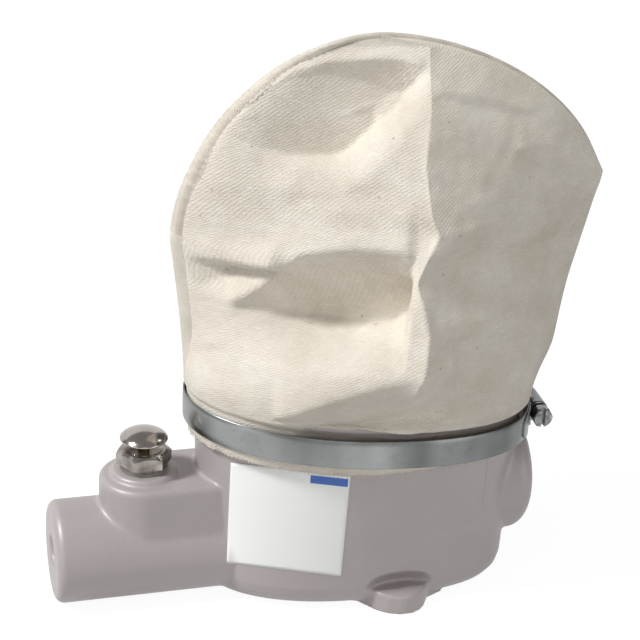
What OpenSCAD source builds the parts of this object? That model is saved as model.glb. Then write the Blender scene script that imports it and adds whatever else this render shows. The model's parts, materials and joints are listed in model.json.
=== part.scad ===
// Air-blast spark plug cleaner: a cast bowl that holds abrasive, a push-button air valve,
// a blast nozzle that faces a rubber plug socket, and a cloth bag that filters the air.
// Millimetres. The origin is on the floor under the middle of the bowl.
// +X points to the plug port, -X to the air inlet, -Y to the front, +Z up.

/* [Bowl] */
// Length of the bowl at the floor, end to end, before the bottom edge is rounded
bowl_len = 136; // [126:1:150]
// Width of the bowl at the floor, front to back
bowl_wid = 77; // [70:1:90]
// Height of the bowl's mouth over the floor, at the middle
bowl_h = 94; // [90:1:106]
// Thickness of the cast wall
wall = 5; // [3.5:0.5:6]
// Thickness of the bowl's floor
floor_t = 7; // [5:0.5:9]
// Radius of the rounded bottom edge
base_round = 12; // [8:1:15]
// Draft angle of the bowl's two ends
end_draft = 2.6; // [1:0.1:4]
// Draft angle of the bowl's front and back
side_draft = 5.1; // [2:0.1:6]
// How square the right end is at the floor, 2 is an ellipse
end_square = 3; // [2:0.1:4]
// How square the right end is under the clamp
mouth_square = 2.4; // [2:0.1:3]
// Fall of the mouth towards the plug port, in degrees
mouth_fall = 3.9; // [0:0.1:5]
// How far the bead at the mouth stands out
bead_out = 1.5; // [1:0.1:2]
// Height of the bead at the mouth
bead_h = 5; // [4:0.5:6]
// Left edge of the raised pad on the front
pad_left = -17; // [-30:1:0]
// Right edge of the raised pad
pad_right = 48; // [30:1:54]
// Lower edge of the raised pad
pad_low = 35.5; // [25:0.5:50]
// How far the pad stands out of the curved wall at its right end
pad_t = 1.2; // [0.5:0.1:2]

/* [Lugs] */
// Radius of a lug's round tip
lug_r = 12; // [9:0.5:15]
// Place of the lugs along the bowl
lug_x = 13.5; // [0:0.5:25]
// Reach of a lug's tip from the middle plane
lug_reach = 45.5; // [42:0.5:52]
// Thickness of a lug
lug_h = 6.5; // [4:0.5:9]
// Radius of the hollow flare where a lug meets the bowl
lug_flare = 11; // [5:0.5:13]
// Radius of the hollow sweep from a lug's top up to the wall
lug_sweep = 9; // [5:0.5:10]

/* [Inlet barrel] */
// Diameter of the inlet barrel
barrel_d = 44.5; // [40:0.5:50]
// Distance of the barrel's end face from the middle of the bowl
barrel_reach = 133.3; // [126:0.1:150]
// Rounding of the barrel's end edge
barrel_edge = 3.7; // [2:0.1:6]
// Diameter of the inlet thread at mid depth, a quarter-inch pipe thread
inlet_d = 12.4; // [10:0.1:15]
// Depth of the inlet thread
inlet_depth = 16; // [12:0.5:20]
// Diameter of the countersink at the inlet's mouth
inlet_mouth_d = 14.8; // [13.6:0.1:17]
// Diameter of the air passage behind the inlet
passage_d = 9; // [6:0.5:10]

/* [Valve] */
// Distance of the valve's axis from the middle of the bowl
valve_x = 93.5; // [90:0.5:102]
// Width of the valve boss
boss_w = 38.2; // [34:0.2:42]
// Height of the valve boss over the floor
boss_h = 57; // [56:0.5:62]
// Rounding of the valve boss's top edge
boss_edge = 2.6; // [1:0.1:4]
// Diameter of the round seat on the boss
seat_d = 28.2; // [26:0.2:32]
// Height of the round seat
seat_h = 2.6; // [1:0.1:4]
// Size of the gland's hexagon across flats
hex_af = 20.9; // [19:0.1:23]
// Height of the hexagon
hex_h = 6; // [4:0.5:8]
// Diameter of the push button
button_d = 20.5; // [18:0.5:26]
// Rise of the button's dome
dome_h = 3.8; // [2:0.2:6]
// Travel of the push button
stroke = 3.5; // [2:0.1:3.6]
// Diameter of the valve stem
stem_d = 5; // [4:0.1:6]
// Diameter of the spring's wire
wire_d = 1; // [0.7:0.1:1.3]
// Turns of the valve spring
spring_turns = 7; // [5:1:8]

/* [Plug port] */
// Diameter of the port boss
port_d = 56; // [52:0.5:57]
// Height of the port's axis over the floor, which is the blast line too
port_z = 43.7; // [42:0.1:44]
// How far the port's end face stands out past the end of the bowl's floor
port_out = 9.3; // [8:0.1:14]
// Rounding of the port boss's edge
port_edge = 7.8; // [4:0.1:8.5]
// Diameter of the socket for the rubber adapter
socket_d = 37; // [34:0.5:39]
// Diameter of the opening behind the adapter, which the abrasive falls back through
throat_d = 28; // [25:0.5:31]
// Thickness of the rubber adapter
adapter_t = 10; // [8:0.5:12]
// Diameter of the hole that takes the plug's thread
plug_hole_d = 14; // [10:0.5:18]
// Opening of the retaining ring
ring_hole_d = 24; // [22:0.5:27]

/* [Blast gear] */
// Outer diameter of the air tube
tube_d = 9.5; // [8:0.1:11]
// Bore of the jet at the air tube's tip
jet_bore = 2.8; // [2:0.1:4]
// Diameter of the mixing block
block_d = 26; // [22:0.5:30]
// Length of the mixing block
block_len = 38; // [34:1:44]
// Outer diameter of the pickup tube
pickup_d = 10; // [8:0.5:12]
// Gap between the pickup tube and the bowl's floor
pickup_gap = 4; // [2:0.5:8]
// Outer diameter of the blast tube
blast_d = 13; // [11:0.5:15]
// Bore of the blast tube
blast_bore = 6.4; // [5:0.1:8]
// Outer diameter of the blast nozzle
nozzle_d = 17; // [15.5:0.5:19]
// Bore of the blast nozzle
nozzle_bore = 5; // [4:0.1:6]

/* [Clamp] */
// Width of the clamp band
band_w = 12.7; // [9:0.1:13.5]
// Thickness of the clamp band
band_t = 0.7; // [0.5:0.1:1.2]
// Distance of the band's middle line below the mouth
band_drop = 12.2; // [10.5:0.1:12.5]
// Diameter of the clamp screw's thread
screw_d = 7; // [6:0.1:8]
// Length of the clamp housing along the band
housing_len = 15; // [12:0.5:18]
// Size of the clamp screw's hexagon across flats
screw_af = 8.4; // [7:0.1:9]
// Place of the clamp housing along the right end, towards the back
clamp_y = -5; // [-12:0.5:0]
// Length of the clamp screw's head
head_len = 5.5; // [5:0.5:9]

/* [Bag] */
// Thickness of the folded hem under the clamp
hem_t = 3.3; // [2.5:0.1:4.5]
// Thickness of the bag's wall above the clamp
bag_t = 2.5; // [1.5:0.1:3]
// Height of the top of the bag over the floor
bag_top = 246.5; // [225:0.5:270]
// Height of the left shoulder
shoulder_z = 161; // [145:1:175]
// Reach of the left shoulder from the middle
shoulder_x = 82.8; // [79:0.1:90]
// Height of the right corner
corner_z = 178; // [160:1:190]
// Reach of the right corner from the middle
corner_x = 101.5; // [90:0.5:115]
// Half depth of the bag at its belly
belly_y = 54; // [52:0.5:64]
// Height of the belly
belly_z = 115; // [105:1:130]
// Place of the upright crease on the bag's front, at half height
crease_x = 11.5; // [0:0.5:25]
// Lean of the crease to the right, in degrees
crease_lean = 5; // [-5:1:10]
// How sharp the crease is, 0 leaves the front round
crease_sharp = 1; // [0:0.1:1]
// Depth of the two hollows on the left of the crease
dent_deep = 4.5; // [0:0.5:6]

/* [Hidden] */

$fn = 64;
// Points round each oval section
STEPS = 72;
// Room where a soft piece or the band lies against its neighbour
seat_gap = 0.3;
// Radial room round a sliding or screwed piece
run_gap = 0.06;
// Rounding of a lug's top edge
lug_edge = 1.8;
// Room between flat faces that press on each other
face_gap = 0.05;
// Reach of a cutting tool past the face it cuts
over = 1;
// Room between the casting's two nodes, which are one piece of metal on the real object
split_gap = 0.02;
// Thickness of the lips that grip the band's edges
lip_t = 0.6;

slope = tan(mouth_fall);
barrel_z = barrel_d / 2;
band_z = bowl_h - band_drop;
port_reach = bowl_len / 2 + port_out;

// Levels where the bowl's section changes
lean_from_z = 45;
hem_z = band_z - band_w / 2 - 1.5;
hem_slope = slope * 0.45;
band_top_z = band_z + band_w / 2;
housing_half = band_w / 2 + seat_gap / 2 + lip_t;

// Half length and half width of the bowl's outside at height z, over the rounded edge
function bowl_a(z) = bowl_len / 2 + z * tan(end_draft);
function bowl_b(z) = bowl_wid / 2 + z * tan(side_draft);

// Half length and half width of the loop that the band makes, on its inside
loop_a = bowl_a(band_z) + 2 * seat_gap + hem_t;
loop_b = bowl_b(band_z) + 2 * seat_gap + hem_t;

// Valve levels, bottom to top
chamber_z = 10;
chamber_d = 14;
gland_bore_d = 18;
valve_seat_z = 34;
gasket_t = 0.8;
sleeve_z = valve_seat_z + gasket_t;
seat_top_z = boss_h + seat_h;
washer_t = 1.4;
flange_z = seat_top_z + washer_t;
flange_t = 1.6;
hex_z = flange_z + flange_t;
gland_top_z = hex_z + hex_h + 0.3;
button_z = gland_top_z + stroke + 0.6;
rim_t = 1.2;
poppet_d = 11.2;
disc_t = 2;
disc_z = sleeve_z - face_gap - disc_t;
poppet_t = 2.5;
poppet_z = disc_z - poppet_t;
tail_len = 3;
air_port_r = 3.2;
shank_z = 50;
sleeve_bore_d = 8.8;
seal_d = 1.76;
seal_z = 56;

// Places along the blast line
tube_seat_x = -(valve_x - gland_bore_d / 2 - 2.5);
spot_x = -(bowl_a(port_z) - wall + 0.3);
nut_t = 6;
nut_d = (2 * tube_d - 2) / cos(30);
block_x = -14;
jet_x = block_x + block_len / 2 + 1;
block_end = 12;
chamber_from = block_x + block_end;
chamber_to = block_x + block_len - block_end;
block_screw_d = 5;
block_head_af = 8;
block_head_h = 3.5;
block_socket_h = 2;
block_screw_in = block_end / 2;
block_flat = 0.3;
mix_r = 7.2;
pickup_x = chamber_from + 7;
nozzle_x = 38;
nozzle_len = 18;
nozzle_grip = nozzle_len / 2;
pickup_wall = 3;
pickup_t = 1.5;
collar_x = 50;
collar_d = socket_d + 12;
ring_t = 5.2;
cover_t = 0.8;
socket_x = port_reach - 0.3 - ring_t - cover_t - adapter_t;

// The two hollows of the bag's front: their place left of the crease, and each one's drop and width
dent_left = 38;
dent_tall = 13;
dents = [[29, 40], [98, 42]];

// Clamp places
lap_t = 2 * band_t;
saddle_t = 1;
screw_out = lap_t + seat_gap + 0.1 + screw_d / 2;
tail_lead = 24;
tail_trail = 18;
tail_bare = 7;
tail_from = clamp_y - tail_lead;
tail_to = clamp_y + tail_trail;
slots_from = tail_from + tail_bare;
slots_to = 34;
slot_pitch = 2.6;
slot_w = slot_pitch * 0.3;
slot_cut = 8 * band_t;

function sgn(v) = v < 0 ? -1 : 1;

// One point of an oval whose left half is an ellipse and whose right half is squarer
function oval_point(t, a_left, a_right, b, square) =
    let (c = cos(t), s = sin(t), n = c > 0 ? square : 2, a = c > 0 ? a_right : a_left)
    [a * sgn(c) * pow(abs(c), 2 / n), b * sgn(s) * pow(abs(s), 2 / n)];

function oval(a_left, a_right, b, square) =
    [for (k = [0 : STEPS - 1]) oval_point(360 * k / STEPS, a_left, a_right, b, square)];

// An oval lifted to height z, falling towards +X
function ring(outline, z, fall) = [for (q = outline) [q[0], q[1], z - fall * q[0]]];

// A solid through a stack of rings with equal counts of points
module loft(rings) {
    n = len(rings[0]);
    last = (len(rings) - 1) * n;
    points = [for (r = rings) for (p = r) p];
    sides = [for (i = [0 : len(rings) - 2]) for (k = [0 : n - 1])
        let (a = i * n + k, b = i * n + (k + 1) % n)
        each [[a, a + n, b + n], [a, b + n, b]]];
    lower = [for (k = [0 : n - 1]) k];
    upper = [for (k = [n - 1 : -1 : 0]) last + k];
    polyhedron(points = points, faces = concat([lower], sides, [upper]), convexity = 6);
}

// Share of the way from the floor to the hem
function rise(z) = min(1, max(0, z / hem_z));
function bowl_square(z) = end_square + (mouth_square - end_square) * rise(z);

// Fall of the bowl's section at level z
function fall_at(z) =
    z <= lean_from_z ? 0 :
    z <= hem_z ? hem_slope * (z - lean_from_z) / (hem_z - lean_from_z) :
    hem_slope + (slope - hem_slope) * min(1, (z - hem_z) / (band_top_z - hem_z));

function bowl_ring(z, grow) =
    ring(oval(bowl_a(z) + grow, bowl_a(z) + grow, bowl_b(z) + grow, bowl_square(z)), z, fall_at(z));

// Rings of a rounded bottom edge of radius r, whose lowest ring lies at height z0
function edge_rings(z0, r, grow) =
    [for (t = [0 : 22.5 : 90]) bowl_ring(z0 + r * (1 - cos(t)), grow - r * (1 - sin(t)))];

module bowl_outside(grow = 0) {
    loft(concat(
        edge_rings(0, base_round, grow),
        [for (z = [lean_from_z, hem_z, bowl_h - bead_h]) bowl_ring(z, grow)],
        [bowl_ring(bowl_h - 0.7 * bead_h, grow + bead_out), bowl_ring(bowl_h - 0.2 * bead_h, grow + bead_out),
         bowl_ring(bowl_h, grow + bead_out / 2)]));
}

module bowl_inside() {
    loft(concat(
        edge_rings(floor_t, base_round, -wall),
        [for (z = [lean_from_z, hem_z, bowl_h + over]) bowl_ring(z, -wall)]));
}

// A cylinder along +Z from the origin with a rounded far edge
module round_end(r, h, edge) {
    rotate_extrude() {
        square([r - edge, h]);
        square([r, h - edge]);
        translate([r - edge, h - edge]) intersection() {
            circle(edge);
            square(edge);
        }
    }
}

// A cylinder along X between two places
module along_x(from_x, to_x, r, z) {
    translate([from_x, 0, z]) rotate([0, 90, 0]) cylinder(r = r, h = to_x - from_x);
}

module inlet_barrel() {
    root_x = bowl_len / 2 - base_round - wall - 3;
    translate([-root_x, 0, barrel_z]) rotate([0, -90, 0])
        round_end(barrel_d / 2, barrel_reach - root_x, barrel_edge);
}

module valve_boss() {
    root_x = bowl_len / 2 - base_round - wall - 3;
    r = boss_w / 2;
    h = boss_h - barrel_z;
    translate([-valve_x, 0, barrel_z]) round_end(r, h, boss_edge);
    translate([-valve_x, 0, barrel_z]) rotate([90, 0, 90]) linear_extrude(valve_x - root_x) {
        translate([-r, 0]) square([2 * r, h - boss_edge]);
        translate([-r + boss_edge, 0]) square([2 * r - 2 * boss_edge, h]);
        for (side = [-1, 1]) translate([side * (r - boss_edge), h - boss_edge]) circle(boss_edge);
    }
    translate([-valve_x, 0, boss_h - over]) round_end(seat_d / 2, seat_h + over, seat_h * 0.6);
}

module port_boss() {
    root_x = port_reach - port_edge - 22;
    translate([root_x, 0, port_z]) rotate([0, 90, 0])
        round_end(port_d / 2, port_reach - root_x, port_edge);
}

// Room that a tall port boss leaves the clamp
module clamp_way() {
    intersection() {
        band_slab(2 * (housing_half + seat_gap));
        translate([0, 0, band_z - 2 * band_w]) linear_extrude(4 * band_w) band_layer(-seat_gap, port_edge);
    }
}

// The bowl's own wall moved along, so that the pad rises out of it towards the right end
module pad() {
    intersection() {
        translate([3 * pad_t, 0, 0]) bowl_outside(0.15);
        translate([pad_left, -bowl_wid, pad_low]) cube([pad_right - pad_left, bowl_wid, hem_z - 3 - pad_low]);
    }
}

module lug() {
    tip_y = -(lug_reach - lug_r);
    half = lug_r + lug_flare;
    root_y = bowl_wid / 2 - base_round;
    sweep_from = lug_r - lug_edge;
    translate([lug_x, tip_y, 0]) round_end(lug_r, lug_h, lug_edge);
    linear_extrude(lug_h - lug_edge / 3) difference() {
        translate([lug_x - half, tip_y]) square([2 * half, -tip_y - root_y + 6]);
        for (side = [-1, 1]) translate([lug_x + side * half, tip_y]) circle(lug_flare);
    }
    translate([lug_x, tip_y, lug_h - over]) rotate_extrude() difference() {
        square([sweep_from, lug_sweep + over]);
        translate([sweep_from, lug_sweep + over]) circle(lug_sweep);
    }
}

module valve_bores() {
    translate([-valve_x, 0, chamber_z]) cylinder(d = chamber_d, h = valve_seat_z - chamber_z + over);
    translate([-valve_x, 0, valve_seat_z]) cylinder(d = gland_bore_d, h = seat_top_z - valve_seat_z + over);
    along_x(-barrel_reach - over, -barrel_reach + inlet_depth, inlet_d / 2, barrel_z);
    translate([-barrel_reach - over, 0, barrel_z]) rotate([0, 90, 0])
        cylinder(d1 = inlet_mouth_d + 2 * over, d2 = inlet_d, h = over + (inlet_mouth_d - inlet_d) / 2);
    along_x(-barrel_reach + inlet_depth - over, -valve_x, passage_d / 2, barrel_z);
}

module blast_bores() {
    along_x(-valve_x, tube_seat_x + over, air_port_r, port_z);
    along_x(tube_seat_x, -collar_x, tube_d / 2 + run_gap, port_z);
    along_x(spot_x, spot_x + 14, nut_d / 2 + 1, port_z);
    along_x(collar_x - over, port_reach, throat_d / 2, port_z);
    along_x(socket_x, port_reach + over, socket_d / 2, port_z);
}

// The casting's bowl, with its port boss, its lugs and its pad
module body_casting() {
    color([0.64, 0.62, 0.62])
    difference() {
        union() {
            difference() {
                union() {
                    bowl_outside();
                    pad();
                    difference() {
                        port_boss();
                        clamp_way();
                    }
                    lug();
                    mirror([0, 1, 0]) lug();
                }
                bowl_inside();
            }
            along_x(collar_x, port_reach - port_edge, collar_d / 2, port_z);
        }
        blast_bores();
    }
}

// The casting's inlet barrel and valve boss, as far as the bowl's outside
module inlet_casting() {
    color([0.64, 0.62, 0.62])
    difference() {
        union() {
            inlet_barrel();
            valve_boss();
        }
        bowl_outside(split_gap);
        valve_bores();
        blast_bores();
    }
}

// Half lengths of the bag to the left and right, and its half depth, at height z
function crown(u, p) = pow(max(0, 1 - pow(min(1, max(0, u)), p)), 1 / p);
function bag_left(z) =
    z > shoulder_z ? shoulder_x * crown((z - shoulder_z) / (bag_top - shoulder_z), 1.85) :
    loop_a + (shoulder_x - loop_a) * pow((z - band_top_z) / (shoulder_z - band_top_z), 1.5);
function bag_right(z) =
    z > corner_z ? corner_x * crown((z - corner_z) / (bag_top - corner_z), 1.77) :
    loop_a + (corner_x - loop_a) * pow((z - band_top_z) / (corner_z - band_top_z), 0.88);
function bag_deep(z) =
    z > belly_z ? 1.5 + (belly_y - 1.5) * pow(1 - pow((z - belly_z) / (bag_top - belly_z), 1.6), 0.8) :
    loop_b + 2 + (belly_y - loop_b - 2) * sin(90 * (z - band_top_z) / (belly_z - band_top_z));
function bag_fall(z) = slope * max(0, 1 - (z - band_top_z) / 40);

// 0 below low, 1 above high, and a smooth step between
function ramp(low, high, v) = let (t = min(1, max(0, (v - low) / (high - low)))) t * t * (3 - 2 * t);
function crease_at(z) = ramp(band_top_z, band_top_z + 30, z) *
    min(bag_right(z) / 2, crease_x + (z - (bag_top + band_top_z) / 2) * tan(crease_lean));
function sharp_at(z) = crease_sharp * ramp(band_top_z + 4, band_top_z + 34, z) *
    (1 - ramp(bag_top - 31, bag_top - 6, z) / 2);

// Two soft hollows, one above the other
function hollow(x, z, drop, wide) =
    exp(-pow((x - crease_x + dent_left) / wide, 2) - pow((z - bag_top + drop) / dent_tall, 2));
function dent_at(x, z) =
    dent_deep * (hollow(x, z, dents[0][0], dents[0][1]) + hollow(x, z, dents[1][0], dents[1][1]));

// One point of the bag's front, whose two sides meet at the crease
function front_point(t, left, right, deep, z) =
    let (c = cos(t), share = abs(c), sharp = sharp_at(z), mid = crease_at(z),
        x = c < 0 ? mid - (left + mid) * share : mid + (right - mid) * share,
        bend = pow(share, 2 - (c < 0 ? 0.86 : 0.95) * sharp),
        y = deep * pow(max(0, 1 - bend), 0.5 + 0.15 * sharp))
    [x, -y + min(y / 2, dent_at(x, z) * (1 - pow(share, 5)))];

function bag_outline(left, right, deep, z) =
    [for (k = [0 : STEPS - 1]) let (t = 360 * k / STEPS)
        t > 180 ? front_point(t, left, right, deep, z) : oval_point(t, left, right, deep, 2)];

// A ring of the bag at height z, drawn in by inset
function bag_ring(z, inset) =
    ring(bag_outline(bag_left(z) - inset, bag_right(z) - inset, bag_deep(z) - inset, z), z, bag_fall(z));

module filter_bag() {
    out_a = loop_a - seat_gap;
    out_b = loop_b - seat_gap;
    fold_z = band_top_z + 0.5;
    lift_z = fold_z + 3;
    crown_zs = [for (u = [0.1 : 0.095 : 0.78]) lift_z + u * (bag_top - lift_z)];
    top_zs = [for (t = [10 : 16 : 74]) lift_z + (0.78 + 0.215 * sin(t)) * (bag_top - lift_z)];
    top_inside_z = bag_top - bag_t - 2;
    inside_zs = [for (z = concat(crown_zs, top_zs)) if (z < top_inside_z - 4) z];
    outside_zs = concat(crown_zs, top_zs);
    inner_top = ring(oval(14, 14, 0.6, 2), top_inside_z, 0);
    color([0.86, 0.82, 0.74])
    loft(concat(
        [inner_top],
        [for (i = [len(inside_zs) - 1 : -1 : 0]) bag_ring(inside_zs[i], bag_t)],
        [bag_ring(bowl_h + 6, bag_t), bowl_ring(bowl_h - 0.2 * bead_h, bead_out + seat_gap),
         bowl_ring(bowl_h - 0.7 * bead_h - 0.5, bead_out + seat_gap),
         bowl_ring(bowl_h - bead_h - 0.5, seat_gap), bowl_ring(hem_z, seat_gap)],
        [ring(oval(out_a, out_a, out_b, mouth_square), hem_z, fall_at(hem_z)),
         ring(oval(out_a, out_a, out_b, mouth_square), fold_z, slope)],
        [bag_ring(lift_z, 0)],
        [for (z = outside_zs) bag_ring(z, 0)],
        [ring(oval(5, 7, 1.5, 2), bag_top, 0)]));
}

// The slab between the band's two edges
module band_slab(w) {
    reach = 2 * loop_a;
    translate([0, 0, band_z]) rotate([0, mouth_fall, 0])
        translate([-reach, -reach, -w / 2 * cos(mouth_fall)]) cube([2 * reach, 2 * reach, w * cos(mouth_fall)]);
}

module band_layer(from_t, to_t) {
    difference() {
        polygon(oval(loop_a + to_t, loop_a + to_t, loop_b + to_t, mouth_square));
        polygon(oval(loop_a + from_t, loop_a + from_t, loop_b + from_t, mouth_square));
    }
}

// Where the right end of the loop lies at y, and how far it has turned there
function loop_x(y) = loop_a * pow(1 - pow(abs(y) / loop_b, mouth_square), 1 / mouth_square);
function loop_turn(y) = atan((loop_x(y + 0.01) - loop_x(y - 0.01)) / 0.02);

// The stretch of the band's free end that laps over the outside, with its corners rounded off
module tail_shape() {
    corner_r = band_w / 3;
    reach = 2 * loop_a;
    translate([0, 0, band_z - slope * loop_x(tail_from)]) rotate([0, 90, 0]) {
        for (side = [-1, 1]) translate([side * (band_w / 2 - corner_r), tail_from + corner_r, 0])
            cylinder(r = corner_r, h = reach);
        translate([corner_r - band_w / 2, tail_from, 0]) cube([band_w - 2 * corner_r, 2 * corner_r, reach]);
        translate([-band_w, tail_from + corner_r, 0]) cube([2 * band_w, tail_to - tail_from - corner_r, reach]);
    }
}

// Slots that the worm runs in, cut through every layer
module band_slots() {
    for (y = [slots_from : slot_pitch : slots_to])
        translate([loop_x(y), y, band_z - slope * loop_x(y)]) rotate([12, 0, 0])
            translate([-slot_cut / 2, -slot_w / 2, -band_w * 0.3]) cube([slot_cut, slot_w, band_w * 0.6]);
}

module clamp_band() {
    low = band_z - 2 * band_w;
    color([0.66, 0.69, 0.70])
    difference() {
        intersection() {
            union() {
                translate([0, 0, low]) linear_extrude(4 * band_w) band_layer(0, band_t);
                intersection() {
                    translate([0, 0, low]) linear_extrude(4 * band_w) band_layer(band_t / 2, lap_t);
                    tail_shape();
                }
            }
            band_slab(band_w);
        }
        band_slots();
    }
}

// The clamp's own frame: +X away from the band, -Y along the screw to its head
module at_clamp() {
    x = loop_x(clamp_y);
    translate([x, clamp_y, band_z - slope * x]) rotate([0, 0, -loop_turn(clamp_y)]) children();
}

// A saddle that grips the band's edges, with a round tunnel for the screw on it
module clamp_housing() {
    half_y = housing_len / 2;
    half_z = housing_half;
    base = lap_t + seat_gap;
    lip_x = band_t * 0.6;
    tunnel_r = screw_d / 2 + 1.2;
    at_clamp() color([0.60, 0.62, 0.63])
    difference() {
        union() {
            translate([base, -half_y, -half_z]) cube([saddle_t, housing_len, 2 * half_z]);
            for (low = [-half_z, half_z - lip_t]) translate([lip_x, -half_y, low])
                cube([base + saddle_t - lip_x, housing_len, lip_t]);
            translate([screw_out, half_y, 0]) rotate([90, 0, 0]) cylinder(r = tunnel_r, h = housing_len);
            translate([base, -half_y, -tunnel_r]) cube([screw_out - base, housing_len, 2 * tunnel_r]);
        }
        translate([base - 2 * tunnel_r, -half_y - over, -tunnel_r - over / 2])
            cube([2 * tunnel_r, housing_len + 2 * over, 2 * tunnel_r + over]);
        translate([screw_out, half_y + over, 0]) rotate([90, 0, 0])
            cylinder(r = screw_d / 2 + run_gap, h = housing_len + 2 * over);
        translate([base - over, 2 - half_y, -screw_d / 2 + 0.6])
            cube([screw_out - base, housing_len - 4, screw_d - 1.2]);
    }
}

// The screw lies along -Y: worm, collar, and a slotted hexagon head at the front
module clamp_screw() {
    core_r = screw_d / 2 - 0.9;
    pitch = slot_pitch;
    turns = floor((housing_len - 4) / pitch);
    back_out = 1;
    collar_t = 1;
    collar_from = back_out + housing_len + seat_gap;
    head_from = collar_from + collar_t + 1.2;
    head_to = head_from + head_len;
    corner_d = screw_af / cos(30);
    drive_w = 1.7;
    drive_deep = 2.4;
    at_clamp() translate([screw_out, housing_len / 2 + back_out, 0]) rotate([90, 0, 0])
    color([0.52, 0.53, 0.54])
    difference() {
        union() {
            rotate_extrude() {
                square([core_r, head_from + over]);
                for (k = [0 : turns - 1]) translate([0, 3 + k * pitch])
                    polygon([[0, 0], [core_r, 0], [screw_d / 2, 0.7],
                        [screw_d / 2, 1.2], [core_r, 1.9], [0, 1.9]]);
                translate([0, collar_from]) square([screw_d / 2 + 1, collar_t]);
            }
            translate([0, 0, head_from]) intersection() {
                cylinder(d = corner_d, h = head_len, $fn = 6);
                cylinder(d1 = corner_d + 6, d2 = screw_af - 0.4, h = head_len);
                cylinder(d2 = corner_d + 7, d1 = screw_af - 0.2, h = head_len);
            }
        }
        translate([-drive_w / 2, -screw_af, head_to - drive_deep])
            cube([drive_w, 2 * screw_af, drive_deep + over]);
    }
}

module push_button() {
    r = button_d / 2;
    ball_r = (r * r + dome_h * dome_h) / (2 * dome_h);
    color([0.80, 0.81, 0.83])
    translate([-valve_x, 0, button_z]) difference() {
        rotate_extrude() {
            square([r - rim_t / 2, rim_t]);
            translate([r - rim_t / 2, rim_t / 2]) circle(rim_t / 2);
            intersection() {
                translate([0, rim_t + dome_h - ball_r]) circle(ball_r);
                square([r - rim_t / 2, rim_t + dome_h]);
            }
        }
        translate([0, 0, -over]) cylinder(r = stem_d / 2 + run_gap, h = over + rim_t + dome_h / 2);
    }
}

module valve_stem() {
    color([0.72, 0.60, 0.34])
    translate([-valve_x, 0, 0]) {
        translate([0, 0, poppet_z]) cylinder(d = poppet_d, h = poppet_t);
        translate([0, 0, poppet_z])
            cylinder(d = stem_d, h = button_z + rim_t + dome_h / 2 - face_gap - poppet_z);
        translate([0, 0, poppet_z - tail_len]) cylinder(d = stem_d, h = tail_len);
    }
}

module poppet_disc() {
    color([0.10, 0.10, 0.10])
    translate([-valve_x, 0, disc_z]) difference() {
        cylinder(d = poppet_d, h = disc_t);
        translate([0, 0, -over]) cylinder(r = stem_d / 2 + run_gap, h = disc_t + 2 * over);
    }
}

// A tube along a coil round +Z, from z0 to z1
module coil(mean_r, wire_r, turns, z0, z1, per_turn, sides) {
    count = turns * per_turn;
    rings = [for (i = [0 : count]) let (t = 360 * i / per_turn, z = z0 + (z1 - z0) * i / count)
        [for (k = [0 : sides - 1]) let (p = -360 * k / sides, r = mean_r + wire_r * cos(p))
            [r * cos(t), r * sin(t), z + wire_r * sin(p)]]];
    loft(rings);
}

module valve_spring() {
    color([0.62, 0.62, 0.62])
    translate([-valve_x, 0, 0])
        coil(chamber_d / 2 - 2.2, wire_d / 2, spring_turns,
            chamber_z + wire_d / 2 + face_gap, poppet_z - wire_d / 2 - face_gap, 12, 6);
}

module valve_bushing() {
    corner_d = hex_af / cos(30);
    color([0.74, 0.74, 0.75])
    translate([-valve_x, 0, 0]) difference() {
        union() {
            translate([0, 0, hex_z]) intersection() {
                cylinder(d = corner_d, h = hex_h, $fn = 6);
                cylinder(d1 = corner_d + 12, d2 = hex_af - 2, h = hex_h);
            }
            translate([0, 0, hex_z]) cylinder(d = hex_af - 5, h = hex_h + 0.3);
            translate([0, 0, flange_z]) cylinder(d = hex_af - 0.5, h = flange_t);
            translate([0, 0, shank_z]) cylinder(r = gland_bore_d / 2 - run_gap, h = flange_z - shank_z);
            translate([0, 0, sleeve_z]) cylinder(d = chamber_d + 0.8, h = shank_z - sleeve_z);
            translate([0, 0, sleeve_z]) cylinder(r = gland_bore_d / 2 - run_gap, h = 2.2);
        }
        translate([0, 0, shank_z - over])
            cylinder(r = stem_d / 2 + run_gap, h = gland_top_z - shank_z + 2 * over);
        translate([0, 0, sleeve_z - over]) cylinder(d = sleeve_bore_d, h = shank_z - sleeve_z + over);
        along_x(-gland_bore_d, gland_bore_d, air_port_r - over, port_z);
        translate([0, 0, seal_z - 1.1]) cylinder(d = stem_d + 2 * seal_d + 0.2, h = 2.2);
    }
}

module bushing_gasket() {
    color([0.52, 0.51, 0.50])
    translate([-valve_x, 0, seat_top_z]) difference() {
        cylinder(d = hex_af - 0.5, h = washer_t);
        translate([0, 0, -over]) cylinder(r = gland_bore_d / 2 + run_gap, h = washer_t + 2 * over);
    }
}

module stem_seal() {
    color([0.08, 0.08, 0.08])
    translate([-valve_x, 0, seal_z]) rotate_extrude()
        translate([stem_d / 2 + run_gap + seal_d / 2, 0]) circle(d = seal_d);
}

module seat_gasket() {
    color([0.52, 0.51, 0.50])
    translate([-valve_x, 0, valve_seat_z]) difference() {
        cylinder(r = gland_bore_d / 2 - run_gap, h = gasket_t);
        translate([0, 0, -over]) cylinder(d = chamber_d + 0.4, h = gasket_t + 2 * over);
    }
}

module air_tube() {
    r = tube_d / 2;
    tip = 12;
    len_x = jet_x - tube_seat_x;
    color([0.75, 0.62, 0.34])
    translate([tube_seat_x, 0, port_z]) rotate([0, 90, 0]) difference() {
        union() {
            cylinder(r = r, h = len_x - tip);
            translate([0, 0, len_x - tip]) cylinder(r1 = r, r2 = jet_bore / 2 + 1, h = tip);
        }
        translate([0, 0, -over]) cylinder(r = 2.6, h = len_x - tip + over);
        cylinder(d = jet_bore, h = len_x + over);
    }
}

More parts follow.
